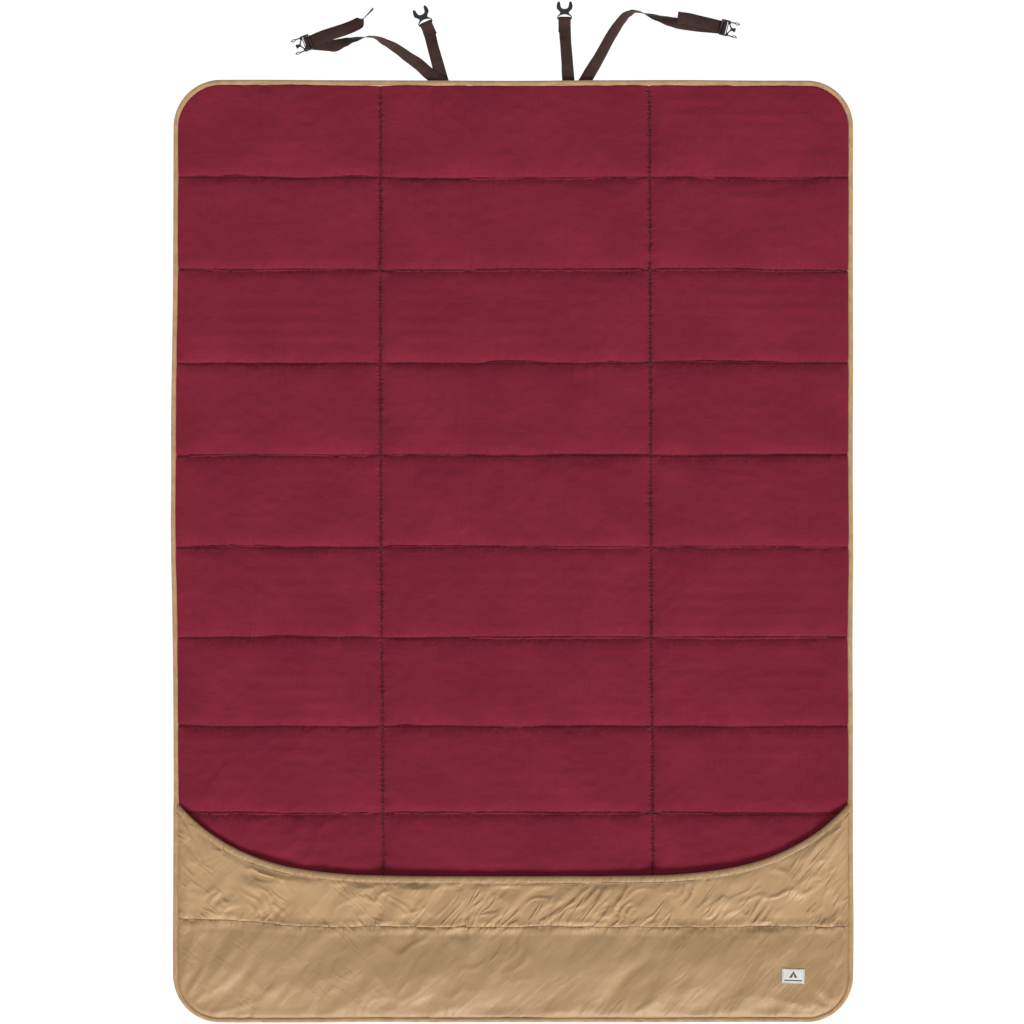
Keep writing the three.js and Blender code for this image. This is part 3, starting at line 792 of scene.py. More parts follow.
def pocket_cloth(name, colour, dark, light):
    """Satin taffeta: soft gloss, fine weave, painted shade along its seam and its hem and over its lower
    panel, and fine creases beside its seam and its hem.
    """
    shader = Shader(name)
    near = shader.attribute("seam")
    patches = shader.noise(shader.scaled(6, 9, 7), detail=3)
    mottled = shader.mix(shader.ramp(patches, 0.35, 0.68), linear(*dark), linear(*light))
    base = shader.mix(0.5, linear(*colour), mottled)
    threads = shader.noise(shader.scaled(900, 300, 500), detail=1)
    base = shader.mix(shader.ramp(threads, 0.3, 0.8, 0.0, 0.12), base, tinted(colour, 1.2))
    uneven = shader.noise(shader.scaled(55, 55, 30), detail=2)
    # Painted shade: groove darkens a ragged line along the pocket's seam and the hem's stitch line.
    groove = shader.ramp(near, 0.2 * MM, shader.ramp(uneven, 0.35, 0.65, 1.0 * MM, 2.6 * MM), 0.62, 0.0)
    drawn = shader.attribute("drawn")
    # Painted shade: below the pocket's seam, where drawn is low, the cloth gets a darker colour to offset the
    # light that the lower panel catches.
    base = shader.mix(shader.ramp(drawn, 0.25, 1.0, 0.36, 0.0), base, tinted(colour, 0.8))
    base = shader.mix(groove, base, tinted(colour, 0.6))
    shader.set("Base Color", base)
    shader.set("Roughness", shader.ramp(threads, 0.2, 0.8, 0.42, 0.52))
    shader.set("Specular IOR Level", 0.34)
    shader.set("Sheen Weight", 0.1)
    fans = shader.noise(shader.scaled(95, 18, 40), detail=2, distortion=0.9)
    fans = shader.math("MULTIPLY", fans, shader.ramp(near, 1 * MM, 20 * MM, 1.0, 0.0))
    normal = shader.bump(fans, 5.0 * MM, 1.0)
    slanted = shader.mix(shader.attribute("right"), shader.creased(48, 12, -42), shader.creased(48, 12, 52))
    sparse = shader.ramp(shader.noise(shader.scaled(14, 14, 14), detail=1), 0.44, 0.6, 0.0, 1.0)
    sparse = shader.math("MULTIPLY", sparse, drawn)
    normal = shader.bump(shader.math("MULTIPLY", slanted, sparse), 2.0 * MM, 0.9, normal)
    slant = shader.noise(shader.scaled(13, 50, 30, 46), detail=3, distortion=0.6)
    normal = shader.bump(slant, 2.2 * MM, 0.8, normal)
    normal = shader.bump(shader.weave(420), 0.08 * MM, 0.4, normal)
    shader.set("Normal", normal)
    return shader.material


def ribbed_tape(name, colour, pitch, roughness):
    """Woven tape: ribs across its length with painted shade between them, and colour that varies a little
    along it.
    """
    shader = Shader(name)
    along = shader.attribute("along")
    across = shader.attribute("across")
    ribs = shader.math("SINE", shader.math("MULTIPLY", along, 2 * math.pi / pitch))
    lengthwise = shader.math("SINE", shader.math("MULTIPLY", across, 2 * math.pi / (pitch * 1.6)))
    patches = shader.noise(shader.scaled(40, 40, 40), detail=3)
    base = shader.mix(shader.ramp(patches, 0.3, 0.7), tinted(colour, 0.95), tinted(colour, 1.05))
    # Painted shade: the troughs between the ribs are darkened.
    base = shader.mix(shader.ramp(ribs, -1.0, 0.2, 0.3, 0.0), base, tinted(colour, 0.7))
    shader.set("Base Color", base)
    shader.set("Roughness", roughness)
    shader.set("Sheen Weight", 0.04)
    shader.set("Specular IOR Level", 0.2)
    normal = shader.bump(ribs, 0.16 * MM, 0.7)
    normal = shader.bump(lengthwise, 0.1 * MM, 0.5, normal)
    normal = shader.bump(shader.noise(shader.scaled(500, 500, 500), detail=2), 0.2 * MM, 0.4, normal)
    shader.set("Normal", normal)
    return shader.material


def moulded_plastic(name, colour):
    shader = Shader(name)
    grain = shader.noise(shader.scaled(900, 900, 900), detail=3)
    worn = shader.noise(shader.scaled(60, 60, 60), detail=4)
    base = shader.mix(shader.ramp(worn, 0.4, 0.75), linear(*colour), tinted(colour, 1.5))
    shader.set("Base Color", base)
    shader.set("Roughness", shader.ramp(worn, 0.3, 0.7, 0.36, 0.52))
    shader.set("Normal", shader.bump(grain, 0.08 * MM, 0.5))
    return shader.material


def thread(name, colour):
    shader = Shader(name)
    twist = shader.noise(shader.scaled(2500, 2500, 2500), detail=1)
    shader.set("Base Color", shader.mix(twist, tinted(colour, 0.8), linear(*colour)))
    shader.set("Roughness", 0.7)
    shader.set("Sheen Weight", 0.3)
    return shader.material


def woven_label(name):
    """A pale woven label with a plain band and a tent mark."""
    shader = Shader(name)
    weave = shader.noise(shader.scaled(1500, 1500, 1500), detail=1)
    base = shader.mix(shader.ramp(weave, 0.3, 0.7), linear(214, 212, 206), linear(238, 237, 232))
    base = shader.mix(shader.attribute("mark"), base, linear(92, 90, 88))
    shader.set("Base Color", base)
    shader.set("Roughness", 0.75)
    shader.set("Normal", shader.bump(weave, 0.15 * MM, 0.5))
    return shader.material


MAROON = (124, 32, 50)
TAN = (192, 155, 111)
TAPE = (202, 165, 122)
BROWN = (64, 42, 38)

MATERIALS = {
    "liner": quilted_cloth("maroon_lining", MAROON, (115, 30, 47), (134, 38, 56), 0.85, 0.06, 300),
    "shell": quilted_cloth("tan_shell", TAN, (178, 143, 101), (197, 162, 119), 0.5, 0.05, 420),
    "pocket": pocket_cloth("tan_pocket", TAN, (178, 143, 101), (197, 162, 119)),
    "binding": ribbed_tape("tan_binding", TAPE, 1.1 * MM, 0.75),
    "webbing": ribbed_tape("brown_webbing", BROWN, 1.5 * MM, 0.7),
    "buckle": moulded_plastic("dark_plastic", (26, 27, 30)),
    "maroon_thread": thread("maroon_thread", (92, 24, 38)),
    "tan_thread": thread("tan_thread", (150, 120, 88)),
    "brown_thread": thread("brown_thread", (52, 40, 38)),
    "label": woven_label("woven_label"),
}


def dressed(piece, material):
    piece.data.materials.clear()
    piece.data.materials.append(MATERIALS[material])
    return piece


# ------------------------------------------------------------------ body pieces baked in place

def folds_with(piece, side):
    """A body piece's place, baked into its mesh."""
    if side == "left":
        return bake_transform(piece)
    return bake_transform(piece)


# ------------------------------------------------------------------ covers

def quilt_marks(piece, side, faces_of_cloth):
    """Keeps each point's place among the seams on the mesh, for the material."""
    seam_x = left_seam_x if side == "left" else right_seam_x
    float_attribute(piece, "row", np.concatenate([row_number(x, y).ravel() for x, y in faces_of_cloth]))
    float_attribute(piece, "column", np.concatenate([(x - seam_x(y)).ravel() for x, y in faces_of_cloth]))


def add_liner(side, folds):
    x, y = body_grid(side, COVER_INSET, LINER_FINE[side])
    upper = np.stack([x, y, liner_height(x, y)], -1) + liner_shift(folds, x, y)
    upper[..., 0] = np.where(np.abs(x - SPLIT_X) < 1e-6, SPLIT_X, upper[..., 0])
    upper[..., 2] += drawn_creases(x, y)
    upper = settled(upper)
    back = (slice(None, None, BACKING_RATIO), slice(None, None, BACKING_RATIO))
    piece = lined_sheet(f"liner_{side}", upper, lowered(upper[back], BACKING_DROP))
    quilt_marks(piece, side, [(x, y), (x[back], y[back])])
    return dressed(piece, "liner"), upper


def add_shell(side):
    x, y = body_grid(side, COVER_INSET, SHELL_STEP)
    height = shell_height(x, y)
    lower = settled(np.stack([x, y, height], -1))
    piece = closed_sheet(f"shell_{side}", lowered(lower, -COVER_THICKNESS), lower)
    quilt_marks(piece, side, [(x, y), (x, y)])
    return dressed(piece, "shell")


def pocket_side_columns(side, step):
    columns = pocket_columns(int(round(2 * HALF_WIDTH / step)) + 1)
    if side == "left":
        return np.append(columns[columns < SPLIT_X - step / 3], SPLIT_X)
    return np.insert(columns[columns > SPLIT_X + step / 3], 0, SPLIT_X)


def pocket_points(side, folds, rows_up, rows_down):
    x, y = pocket_plan(pocket_side_columns(side, POCKET_FINE), rows_up, rows_down)
    points = np.stack([x, y, pocket_height(x, y)], -1)
    seam = np.abs(y - pocket_seam_y(x))
    hem = np.maximum(hem_gap(x, y), 0)
    gathered = 1 + 0.9 * noise(x / 0.08, 0.5, 107) + 1.1 * np.exp(-(((x + 0.15) / 0.08) ** 2))
    points[..., 2] += 2.2 * MM * gathered * pucker(x, seam, 101, 12 * MM) + pocket_creases(x, y)
    points[..., 2] += 1.6 * MM * gathered * pucker(x, hem, 105, 14 * MM)
    if folds is not None:
        coarse = pocket_columns(POCKET_COLUMNS)
        columns = np.interp(x, coarse, np.arange(len(coarse)))
        down = np.linspace(0, POCKET_LOWER, rows_down + 1)
        up = POCKET_LOWER + np.linspace(0, POCKET_UPPER, rows_up + 1)[1:]
        rows = np.repeat(np.concatenate([down, up])[:, None], x.shape[1], 1)
        points = points + resampled(folds, rows, columns)
    split = np.abs(x - SPLIT_X) < 1e-6
    points[..., 0] = np.where(split, SPLIT_X, points[..., 0])
    return x, y, points


def add_pocket(side, folds):
    x, y, upper = pocket_points(side, folds, 56, 46)
    upper = settled(upper)
    seam = np.abs(y - pocket_seam_y(x))
    shell = closed_sheet(f"pocket_shell_{side}", upper, lowered(upper, COVER_THICKNESS))
    on_both_faces(shell, "seam", seam)
    on_both_faces(shell, "right", smoothstep(-0.32, -0.12, x))
    # drawn is full above the pocket's seam and a quarter below it; the material uses it for where the
    # slanting creases are strong and for the painted shade of the lower panel.
    on_both_faces(shell, "drawn", 0.25 + 0.75 * smoothstep(-12 * MM, 0, y - pocket_seam_y(x)))
    x, y, middle = pocket_points(side, None, 14, 20)
    middle = settled(middle)
    middle[..., 2] = np.maximum(middle[..., 2] - 5.5 * MM, 8.2 * MM)
    lining = closed_sheet(f"pocket_lining_{side}", middle, lowered(middle, COVER_THICKNESS))
    for name in ("row", "column"):
        on_both_faces(lining, name, np.full(x.shape, 0.5))
    return dressed(shell, "pocket"), dressed(lining, "liner"), upper


# ------------------------------------------------------------------ tubes along a path

def path_frames(path):
    """Unit vectors across a path in plan, to its right, at each point."""
    ahead = np.gradient(path[:, :2], axis=0)
    ahead /= np.maximum(np.linalg.norm(ahead, axis=1, keepdims=True), 1e-12)
    return np.stack([ahead[:, 1], -ahead[:, 0]], 1)


def path_lengths(path):
    steps = np.linalg.norm(np.diff(path, axis=0), axis=1)
    return np.concatenate([[0], np.cumsum(steps)])


def resample_path(path, step):
    lengths = path_lengths(path)
    count = max(int(round(lengths[-1] / step)), 1)
    marks = np.linspace(0, lengths[-1], count + 1)
    return np.stack([np.interp(marks, lengths, path[:, k]) for k in range(path.shape[1])], 1)


def swept(name, sections, along, across):
    """A closed solid through a list of closed sections: (stations, points, 3)."""
    stations, points = sections.shape[:2]
    ring = np.arange(points)
    faces = []
    for i in range(stations - 1):
        a = i * points + ring
        b = i * points + np.roll(ring, -1)
        faces.append(np.stack([a, b, b + points, a + points], 1))
    faces = [list(map(int, f)) for f in np.concatenate(faces)]
    faces.append(list(map(int, ring[::-1])))
    faces.append(list(map(int, ring + (stations - 1) * points)))
    piece = mesh_object(name, sections.reshape(-1, 3), faces)
    outward(piece)
    float_attribute(piece, "along", np.repeat(along, points))
    float_attribute(piece, "across", np.tile(across, stations))
    return piece


def outward(piece):
    work = bmesh.new()
    work.from_mesh(piece.data)
    bmesh.ops.recalc_face_normals(work, faces=work.faces)
    work.to_mesh(piece.data)
    work.free()


# ------------------------------------------------------------------ binding

def outline_path(side):
    """The blanket's edge for one side's pieces, from the split at the foot round to the split at the head,
    with the direction inward at each point and the side's sign."""
    sign = -1 if side == "left" else 1
    straight_x, straight_y = HALF_WIDTH - CORNER_RADIUS, HALF_LENGTH - CORNER_RADIUS
    turn = np.linspace(0, math.pi / 2, 30)
    arc_x = straight_x + CORNER_RADIUS * np.sin(turn)
    arc_y = straight_y + CORNER_RADIUS * np.cos(turn)
    foot = np.stack([sign * arc_x, -arc_y], 1)
    head = np.stack([sign * arc_x[::-1], arc_y[::-1]], 1)
    ends = [[[SPLIT_X, -HALF_LENGTH]], foot, head, [[SPLIT_X, HALF_LENGTH]]]
    path = resample_path(np.concatenate(ends), OUTLINE_STEP)
    return path, -path_frames(path) * sign, sign


def binding_top(x, y):
    """Height that the binding's upper lap lies at."""
    pocket = smoothstep(12 * MM, -14 * MM, y - (mouth_y(x) - 8 * MM))
    return EDGE_HEIGHT + 0.7 * MM + 4.4 * MM * pocket


def add_binding(side):
    path, inward, sign = outline_path(side)
    lengths = path_lengths(path)
    top = binding_top(path[:, 0], path[:, 1])
    lap = BINDING_WIDTH + 0.7 * MM * noise(lengths / 0.06, 2.5, 111 + sign)
    lap = lap + 1.4 * MM * smoothstep(0.88, 0.93, path[:, 1])
    swell = 0.8 * MM * noise(lengths / 0.018, 1.5, 113 + sign)
    foot_curl = smoothstep(-0.80, -0.90, path[:, 1]) * 3 * MM
    profile = [
        (1.0, 1.0, -0.3), (0.9, 1.0, 1.0), (0.55, 1.0, 1.5), (0.2, 1.0, 1.4), (0.03, 0.9, 0.9),
        (0.0, 0.5, 0.0), (0.05, 0.18, 0.0), (0.2, 0.0, 0.0), (0.6, 0.0, 0.0), (0.98, 0.0, 0.0),
        (0.98, 0.0, 1.1), (0.6, 0.0, 1.1), (0.25, 0.05, 1.2), (0.14, 0.5, 0.0), (0.25, 1.0, -0.2),
        (0.6, 1.0, 0.1), (0.97, 1.0, -1.1),
    ]
    sections = np.empty((len(path), len(profile), 3))
    across = []
    for k, (inset, level, extra) in enumerate(profile):
        distance = lap * inset
        outer = 1 - min(inset / 0.3, 1)
        shift = np.where(outer > 0, foot_curl * outer * 0.3, 0)
        sections[:, k, 0] = path[:, 0] + inward[:, 0] * (distance + shift)
        sections[:, k, 1] = path[:, 1] + inward[:, 1] * (distance + shift)
        bulge = swell if 0.2 < inset < 0.9 and level == 1.0 and extra > 0 else 0
        sections[:, k, 2] = np.maximum(top * level + extra * MM + bulge, 0.0)
        across.append(inset * BINDING_WIDTH + (1 - level) * 8 * MM)
    sections = settled(sections)
    return dressed(swept(f"binding_{side}", sections, lengths, np.array(across)), "binding")


# ------------------------------------------------------------------ hem of the pocket

def hem_path(side, step):
    low = -HALF_WIDTH + 12 * MM if side == "left" else SPLIT_X
    high = SPLIT_X if side == "left" else HALF_WIDTH - 12 * MM
    x = np.linspace(low, high, 400)
    return resample_path(np.stack([x, mouth_y(x)], 1), step)


def hem_height(x, y):
    edge = edge_distance(x, y) - 8 * MM
    return 6.5 * MM + 9.5 * MM * puff(edge, 26 * MM) + 0.9 * MM * noise(x / 0.07, 3.5, 121)


def hem_wave(lengths):
    """Rise and sideways drift of the hem along its length."""
    return 0.8 * MM * noise(lengths / 0.022, 0.5, 125), 0.8 * MM * noise(lengths / 0.05, 0.5, 126)


def add_hem(side):
    """The pocket's mouth is turned over into a soft rolled band."""
    path = hem_path(side, HEM_STEP)
    towards_foot = path_frames(path)
    lengths = path_lengths(path)
    base = hem_height(path[:, 0], path[:, 1])
    profile = [
        (0.0, 0.0), (0.01, 2.2), (0.06, 3.7), (0.18, 4.4), (0.42, 4.1), (0.64, 3.4), (0.8, 2.5), (0.86, 1.9),
        (0.95, 2.6), (1.08, 2.4), (1.1, 1.2), (0.85, 0.6), (0.5, 0.2), (0.2, -0.6), (0.06, -0.7),
    ]
    wave, drift = hem_wave(lengths)
    sections = np.empty((len(path), len(profile), 3))
    slant = 0.4 * noise(lengths / 0.05, 0.5, 127)
    for k, (share, rise) in enumerate(profile):
        distance = HEM_WIDTH * share + drift
        sections[:, k, 0] = path[:, 0] + towards_foot[:, 0] * distance
        sections[:, k, 1] = path[:, 1] + towards_foot[:, 1] * distance
        creases = 0.8 * MM * (1 - 2 * np.abs(noise(lengths / (9 * MM) + share * (1.2 + slant), 0.5, 128)))
        creased = creases * (rise > 1.5) * math.sin(math.pi * min(max(share, 0), 1))
        sections[:, k, 2] = base + rise * MM + wave * (rise > 0) + creased
    sections = settled(sections)
    across = np.array([share * HEM_WIDTH for share, _ in profile])
    piece = swept(f"pocket_hem_{side}", sections, lengths, across)
    # Distance from the hem's stitch line; the pocket's material paints shade along it.
    crease = np.abs(np.tile(across, len(path)) - 0.86 * HEM_WIDTH)
    float_attribute(piece, "seam", crease)
    return dressed(piece, "pocket")


# ------------------------------------------------------------------ stitching

def stitches(name, paths, pitch=4 * MM, length=3 * MM, radius=0.42 * MM):
    """Rows of short thread beads along paths of (x, y, z) points, as one mesh."""
    rings = [(-0.5, 0.0), (-0.28, 1.0), (0.28, 1.0), (0.5, 0.0)]
    vertices, faces = [], []
    for path in paths:
        lengths = path_lengths(path)
        count = int(lengths[-1] / pitch)
        if count < 1:
            continue
        marks = (np.arange(count) + 0.5) * lengths[-1] / count
        centre = np.stack([np.interp(marks, lengths, path[:, k]) for k in range(3)], 1)
        ahead = np.stack([np.interp(marks + 1 * MM, lengths, path[:, k]) for k in range(3)], 1) - centre
        ahead /= np.maximum(np.linalg.norm(ahead, axis=1, keepdims=True), 1e-9)
        side = np.cross(ahead, [0, 0, 1.0])
        side /= np.maximum(np.linalg.norm(side, axis=1, keepdims=True), 1e-9)
        up = np.cross(side, ahead)
        for c, a, s, u in zip(centre, ahead, side, up):
            start = len(vertices)
            vertices.append(c + a * rings[0][0] * length)
            for place, _ in rings[1:3]:
                for dx, dz in ((1, 0), (0, 1), (-1, 0), (0, -1)):
                    vertices.append(c + a * place * length + (s * dx + u * dz) * radius)
            vertices.append(c + a * rings[3][0] * length)
            for k in range(4):
                n = (k + 1) % 4
                faces.append([start, start + 1 + n, start + 1 + k])
                faces.append([start + 1 + k, start + 1 + n, start + 5 + n, start + 5 + k])
                faces.append([start + 5 + k, start + 5 + n, start + 9])
    piece = mesh_object(name, np.array(vertices), faces, 60)
    outward(piece)
    return piece


def surface_finder(grid):
    """Heights of a settled grid of points, looked up at plan positions near its own columns and rows."""
    flat = grid.reshape(-1, 3)
    tree = KDTree(len(flat))
    for i, point in enumerate(flat):
        tree.insert((point[0], point[1], 0), i)
    tree.balance()

    def height(x, y):
        near = tree.find_n((x, y, 0), 4)
        weights = [1 / (distance + 0.3 * MM) for _, _, distance in near]
        return sum(w * flat[i][2] for w, (_, i, _) in zip(weights, near)) / sum(weights)

    return height


def on_surface(plan, height, lift):
    moved = settled(np.concatenate([plan, np.zeros((len(plan), 1))], 1))
    moved[:, 2] = [height(x, y) + lift for x, y, _ in moved]
    return moved


def add_liner_stitches(side, upper):
    height = surface_finder(upper)
    paths = []
    low, high = (-1, SPLIT_X) if side == "left" else (SPLIT_X, 1)
    for row in range(LAST_ROW - 1):
        y0 = row_y(float(row))
        half = float(outline_half_width(np.array(y0), BINDING_WIDTH))
        x = np.arange(max(low, -half), min(high, half), 6 * MM)
        y = y0 + row_wander(x, float(row))
        keep = y > mouth_y(x) - 12 * MM
        if keep.sum() > 2:
            paths.append(on_surface(np.stack([x[keep], y[keep]], 1), height, 0.1 * MM))
    y = np.arange(float(mouth_y(LEFT_FOLD_X)) - 12 * MM, HALF_LENGTH - BINDING_WIDTH, 6 * MM)
    x = left_seam_x(y) if side == "left" else right_seam_x(y)
    paths.append(on_surface(np.stack([x, y], 1), height, 0.1 * MM))
    return dressed(stitches(f"quilting_{side}", paths), "maroon_thread")


def add_binding_stitches(side):
    path, inward, _ = outline_path(side)
    top = binding_top(path[:, 0], path[:, 1])
    plan = path + inward * (BINDING_WIDTH - 1.8 * MM)
    points = settled(np.concatenate([plan, (top + 1.15 * MM)[:, None]], 1))
    return dressed(stitches(f"binding_stitching_{side}", [points]), "tan_thread")


def add_pocket_stitches(side, upper):
    height = surface_finder(upper)
    low = -HALF_WIDTH + BINDING_WIDTH if side == "left" else SPLIT_X
    high = SPLIT_X if side == "left" else HALF_WIDTH - BINDING_WIDTH
    x = np.arange(low, high, 5 * MM)
    seam = on_surface(np.stack([x, pocket_seam_y(x)], 1), height, 0.15 * MM)
    path = hem_path(side, 5 * MM)
    foot = path_frames(path)
    wave, drift = hem_wave(path_lengths(path))
    plan = path + foot * (HEM_WIDTH * 0.86 + drift)[:, None]
    z = hem_height(path[:, 0], path[:, 1]) + 2.1 * MM + wave
    hem = settled(np.concatenate([plan, z[:, None]], 1))
    return dressed(stitches(f"pocket_stitching_{side}", [seam, hem]), "tan_thread")


# ------------------------------------------------------------------ label

def add_label(upper):
    """A small woven label sewn on the pocket, with a band and a tent mark."""
    low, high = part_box("label")
    centre_x, centre_y = (low.x + high.x) / 2, (low.y + high.y) / 2
    width, length, turn = LABEL_WIDTH, LABEL_LENGTH, math.radians(-2)
    height = surface_finder(upper)
    u, v = np.meshgrid(np.linspace(-0.5, 0.5, 91), np.linspace(-0.5, 0.5, 59))
    x = centre_x + u * width * math.cos(turn) - v * length * math.sin(turn)
    y = centre_y + u * width * math.sin(turn) + v * length * math.cos(turn)
    coarse_u, coarse_v = np.meshgrid(np.linspace(-0.5, 0.5, 7), np.linspace(-0.5, 0.5, 5))
    z = np.empty_like(coarse_u)
    for i in np.ndindex(z.shape):
        cx = centre_x + coarse_u[i] * width
        cy = centre_y + coarse_v[i] * length
        z[i] = max(height(cx + dx, cy + dy) for dx in (-3 * MM, 0, 3 * MM) for dy in (-3 * MM, 0, 3 * MM))
    rows = (v + 0.5) * 4
    columns = (u + 0.5) * 6
    lift = resampled(z[..., None], rows, columns)[..., 0] + 0.9 * MM
    upper_face = np.stack([x, y, lift], -1)
    piece = closed_sheet("label_tab", upper_face, lowered(upper_face, 0.7 * MM))
    band = (np.abs(v + 0.3) < 0.05) & (np.abs(u) < 0.4)
    tent = (np.abs(u) < (0.36 - v) * 0.42) & (v > -0.12) & (v < 0.36)
    door = (np.abs(u) < (0.16 - v) * 0.2) & (v > -0.12)
    mark = (band | (tent & ~door)).astype(float)
    float_attribute(piece, "mark", np.concatenate([mark.ravel(), np.zeros(mark.size)]))
    dressed(piece, "label")
    inset = 0.46
    corners = np.array([[-inset, -inset], [inset, -inset], [inset, inset], [-inset, inset], [-inset, -inset]])
    ring = resample_path(corners * [width, length], 3 * MM)
    sx = centre_x + ring[:, 0] * math.cos(turn) - ring[:, 1] * math.sin(turn)
    sy = centre_y + ring[:, 0] * math.sin(turn) + ring[:, 1] * math.cos(turn)
    sz = resampled(lift[..., None], (ring[:, 1] / length + 0.5) * 58, (ring[:, 0] / width + 0.5) * 90)[..., 0]
    sewn = stitches("label_stitching", [np.stack([sx, sy, sz + 0.1 * MM], 1)], 2.6 * MM, 1.9 * MM, 0.3 * MM)
    dressed(sewn, "tan_thread")
    return piece, sewn


# ------------------------------------------------------------------ webbing

WEB_WIDTH = 25 * MM
WEB_THICKNESS = 1.5 * MM
WEB_GAP = 0.3 * MM
RUN_LENGTH = 45 * MM
BAR_Z = 4.5 * MM
BAR_RADIUS = 2 * MM
EDGE_GAP = 0.3 * MM

# Root: where the strap leaves the head edge. Route: [x, y, roll, rest] in millimetres and degrees.
STRAPS = {
    "left_short": {
        "root_x": -140.5, "root_heading": 106, "root_length": 35, "root_rest": 0,
        "route": [[-153, 997, 2, 0], [-160.5, 1024, 12, 0], [-164.8, 1042, 0, 0], [-167.8, 1052.5, 0, 0]],
        "at": (-174.6, 1070), "heading": 114,
    },
    "left_long": {
        "root_x": -146.7, "root_heading": 143, "root_length": 30, "root_rest": 1.8,
        "route": [
            [-189, 987.5, 12, 0.3], [-208, 1000, 34, 0], [-234, 1018.5, 46, 0], [-258, 1031.5, 62, 0],
            [-285, 1042, 90, 0], [-319, 1036.5, 124, 0], [-339, 1031.5, 148, 0],
        ],
        "run_heading": 175, "run_roll": 180, "at": (-415.5, 1031), "heading": 201,
        "tail": [
            [-378, 1046, 180, 2.2], [-340, 1058, 176, 2.5], [-312, 1070, 184, 3], [-299, 1080, 262, 1.5],
            [-281, 1099, 270, 0],
        ],
    },
    "right_short": {
        "root_x": 114.5, "root_heading": 94.5, "root_length": 22, "root_rest": 0,
        "route": [[111.7, 994, -4, 0], [109, 1028, -14, 0], [107.6, 1050, 0, 0], [107, 1058, 0, 0]],
        "at": (106.5, 1080), "heading": 90,
    },
    "right_long": {
        "root_x": 147.5, "root_heading": 60, "root_length": 22, "root_rest": 0,
        "route": [
            [177, 1002, -26, 0], [201, 1045.5, -33, 0], [224, 1078.5, -50, 0], [239, 1089.5, -68, 0],
            [255, 1092.5, -90, 0], [292, 1081, -130, 0], [319, 1074, -153, 0], [342, 1070, -172, 0],
        ],
        "run_heading": -5, "run_roll": -180, "at": (430, 1061.8), "heading": -14,
        "tail": [
            [398, 1070, 180, 2.2], [382, 1073.5, 182, 2.4], [358, 1078.5, 190, 4], [335, 1081, 190, 6.5],
        ],
    },
}


def heading_vector(degrees):
    return np.array([math.cos(math.radians(degrees)), math.sin(math.radians(degrees)), 0.0])


def across_heading(degrees):
    """Half the width of webbing that lies flat and runs in this direction, as a vector to its right."""
    forward = heading_vector(degrees)
    return np.array([forward[1], -forward[0], 0]) * WEB_WIDTH / 2


def spline(points, t, tension=0.5):
    """A uniform Catmull-Rom curve through the points, at t from 0 to 1."""
    points = np.asarray(points, float)
    place = t * (len(points) - 1)
    i = np.minimum(np.floor(place).astype(int), len(points) - 2)
    w = (place - i)[:, None]
    padded = np.concatenate([[2 * points[0] - points[1]], points, [2 * points[-1] - points[-2]]])
    p0, p1, p2, p3 = (padded[i + k] for k in range(4))
    m1, m2 = tension * (p2 - p0), tension * (p3 - p1)
    return p1 + m1 * w + (-3 * p1 + 3 * p2 - 2 * m1 - m2) * w**2 + (2 * p1 - 2 * p2 + m1 + m2) * w**3


def lying_run(points, steps_per_point, root=None):
    """Stations of webbing that lies on a surface: centre, half width vector and how cupped it is."""
    t = np.linspace(0, 1, (len(points) - 1) * steps_per_point + 1)
    plan = spline([[x * MM, y * MM] for x, y, _, _ in points], t)
    manner = spline([[roll, rest] for _, _, roll, rest in points], t, 0.0)
    ahead = np.gradient(plan, axis=0)
    ahead /= np.linalg.norm(ahead, axis=1, keepdims=True)
    roll = np.radians(manner[:, 0])
    half = np.stack([ahead[:, 1] * np.cos(roll), -ahead[:, 0] * np.cos(roll), np.sin(roll)], 1)
    half = half * WEB_WIDTH / 2
    if root is not None:
        half[0] = root
    rest = manner[:, 1] * MM + np.abs(half[:, 2]) + WEB_THICKNESS / 2 * np.abs(np.cos(roll))
    return np.concatenate([plan, rest[:, None]], 1), half


def upright_run(at, heading, profile, fine=4):
    """Stations of webbing that turns over in one upright plane: the profile is [along, height] in mm."""
    smooth = spline(profile, np.linspace(0, 1, (len(profile) - 1) * fine + 1)) * MM
    forward = heading_vector(heading)
    centre = np.array([at[0] * MM, at[1] * MM, 0]) + forward * smooth[:, :1] + [0, 0, 1] * smooth[:, 1:]
    return centre, np.tile(across_heading(heading), (len(centre), 1))


def webbing(name, centre, half, cup):
    """A flat woven band through its stations, with rounded selvedges; cup is how far it curls across."""
    travel = np.gradient(centre, axis=0)
    up = np.cross(half, travel)
    up /= np.maximum(np.linalg.norm(up, axis=1, keepdims=True), 1e-12)
    sides = np.linspace(-1, 1, 9)
    thickness = WEB_THICKNESS / 2 * np.sqrt(np.maximum(1 - np.abs(sides) ** 8, 0.12))
    bend = np.maximum(cup, 1e-3)[:, None]
    spread = np.sin(bend * sides) / bend
    rise = (np.cos(bend * sides) - np.cos(bend)) / bend * WEB_WIDTH / 2
    middle = centre[:, None, :] + half[:, None, :] * spread[..., None]
    middle = middle + np.array([0, 0, 1]) * rise[..., None] * np.abs(up[:, None, 2:])
    offset = up[:, None, :] * thickness[None, :, None]
    sections = np.concatenate([middle - offset, (middle + offset)[:, ::-1]], 1)
    across = np.concatenate([sides, sides[::-1]]) * WEB_WIDTH / 2
    return swept(name, sections, path_lengths(centre), across)


def cupping(count, amount, flat_start, flat_end, seed):
    """Cup of each station: none at the sewn ends, and varying between them."""
    place = np.arange(count)
    ease = smoothstep(0, flat_start, place) * smoothstep(0, flat_end, count - 1 - place)
    return amount * ease * (0.8 + 0.35 * noise(place / 14, 0.5, seed))


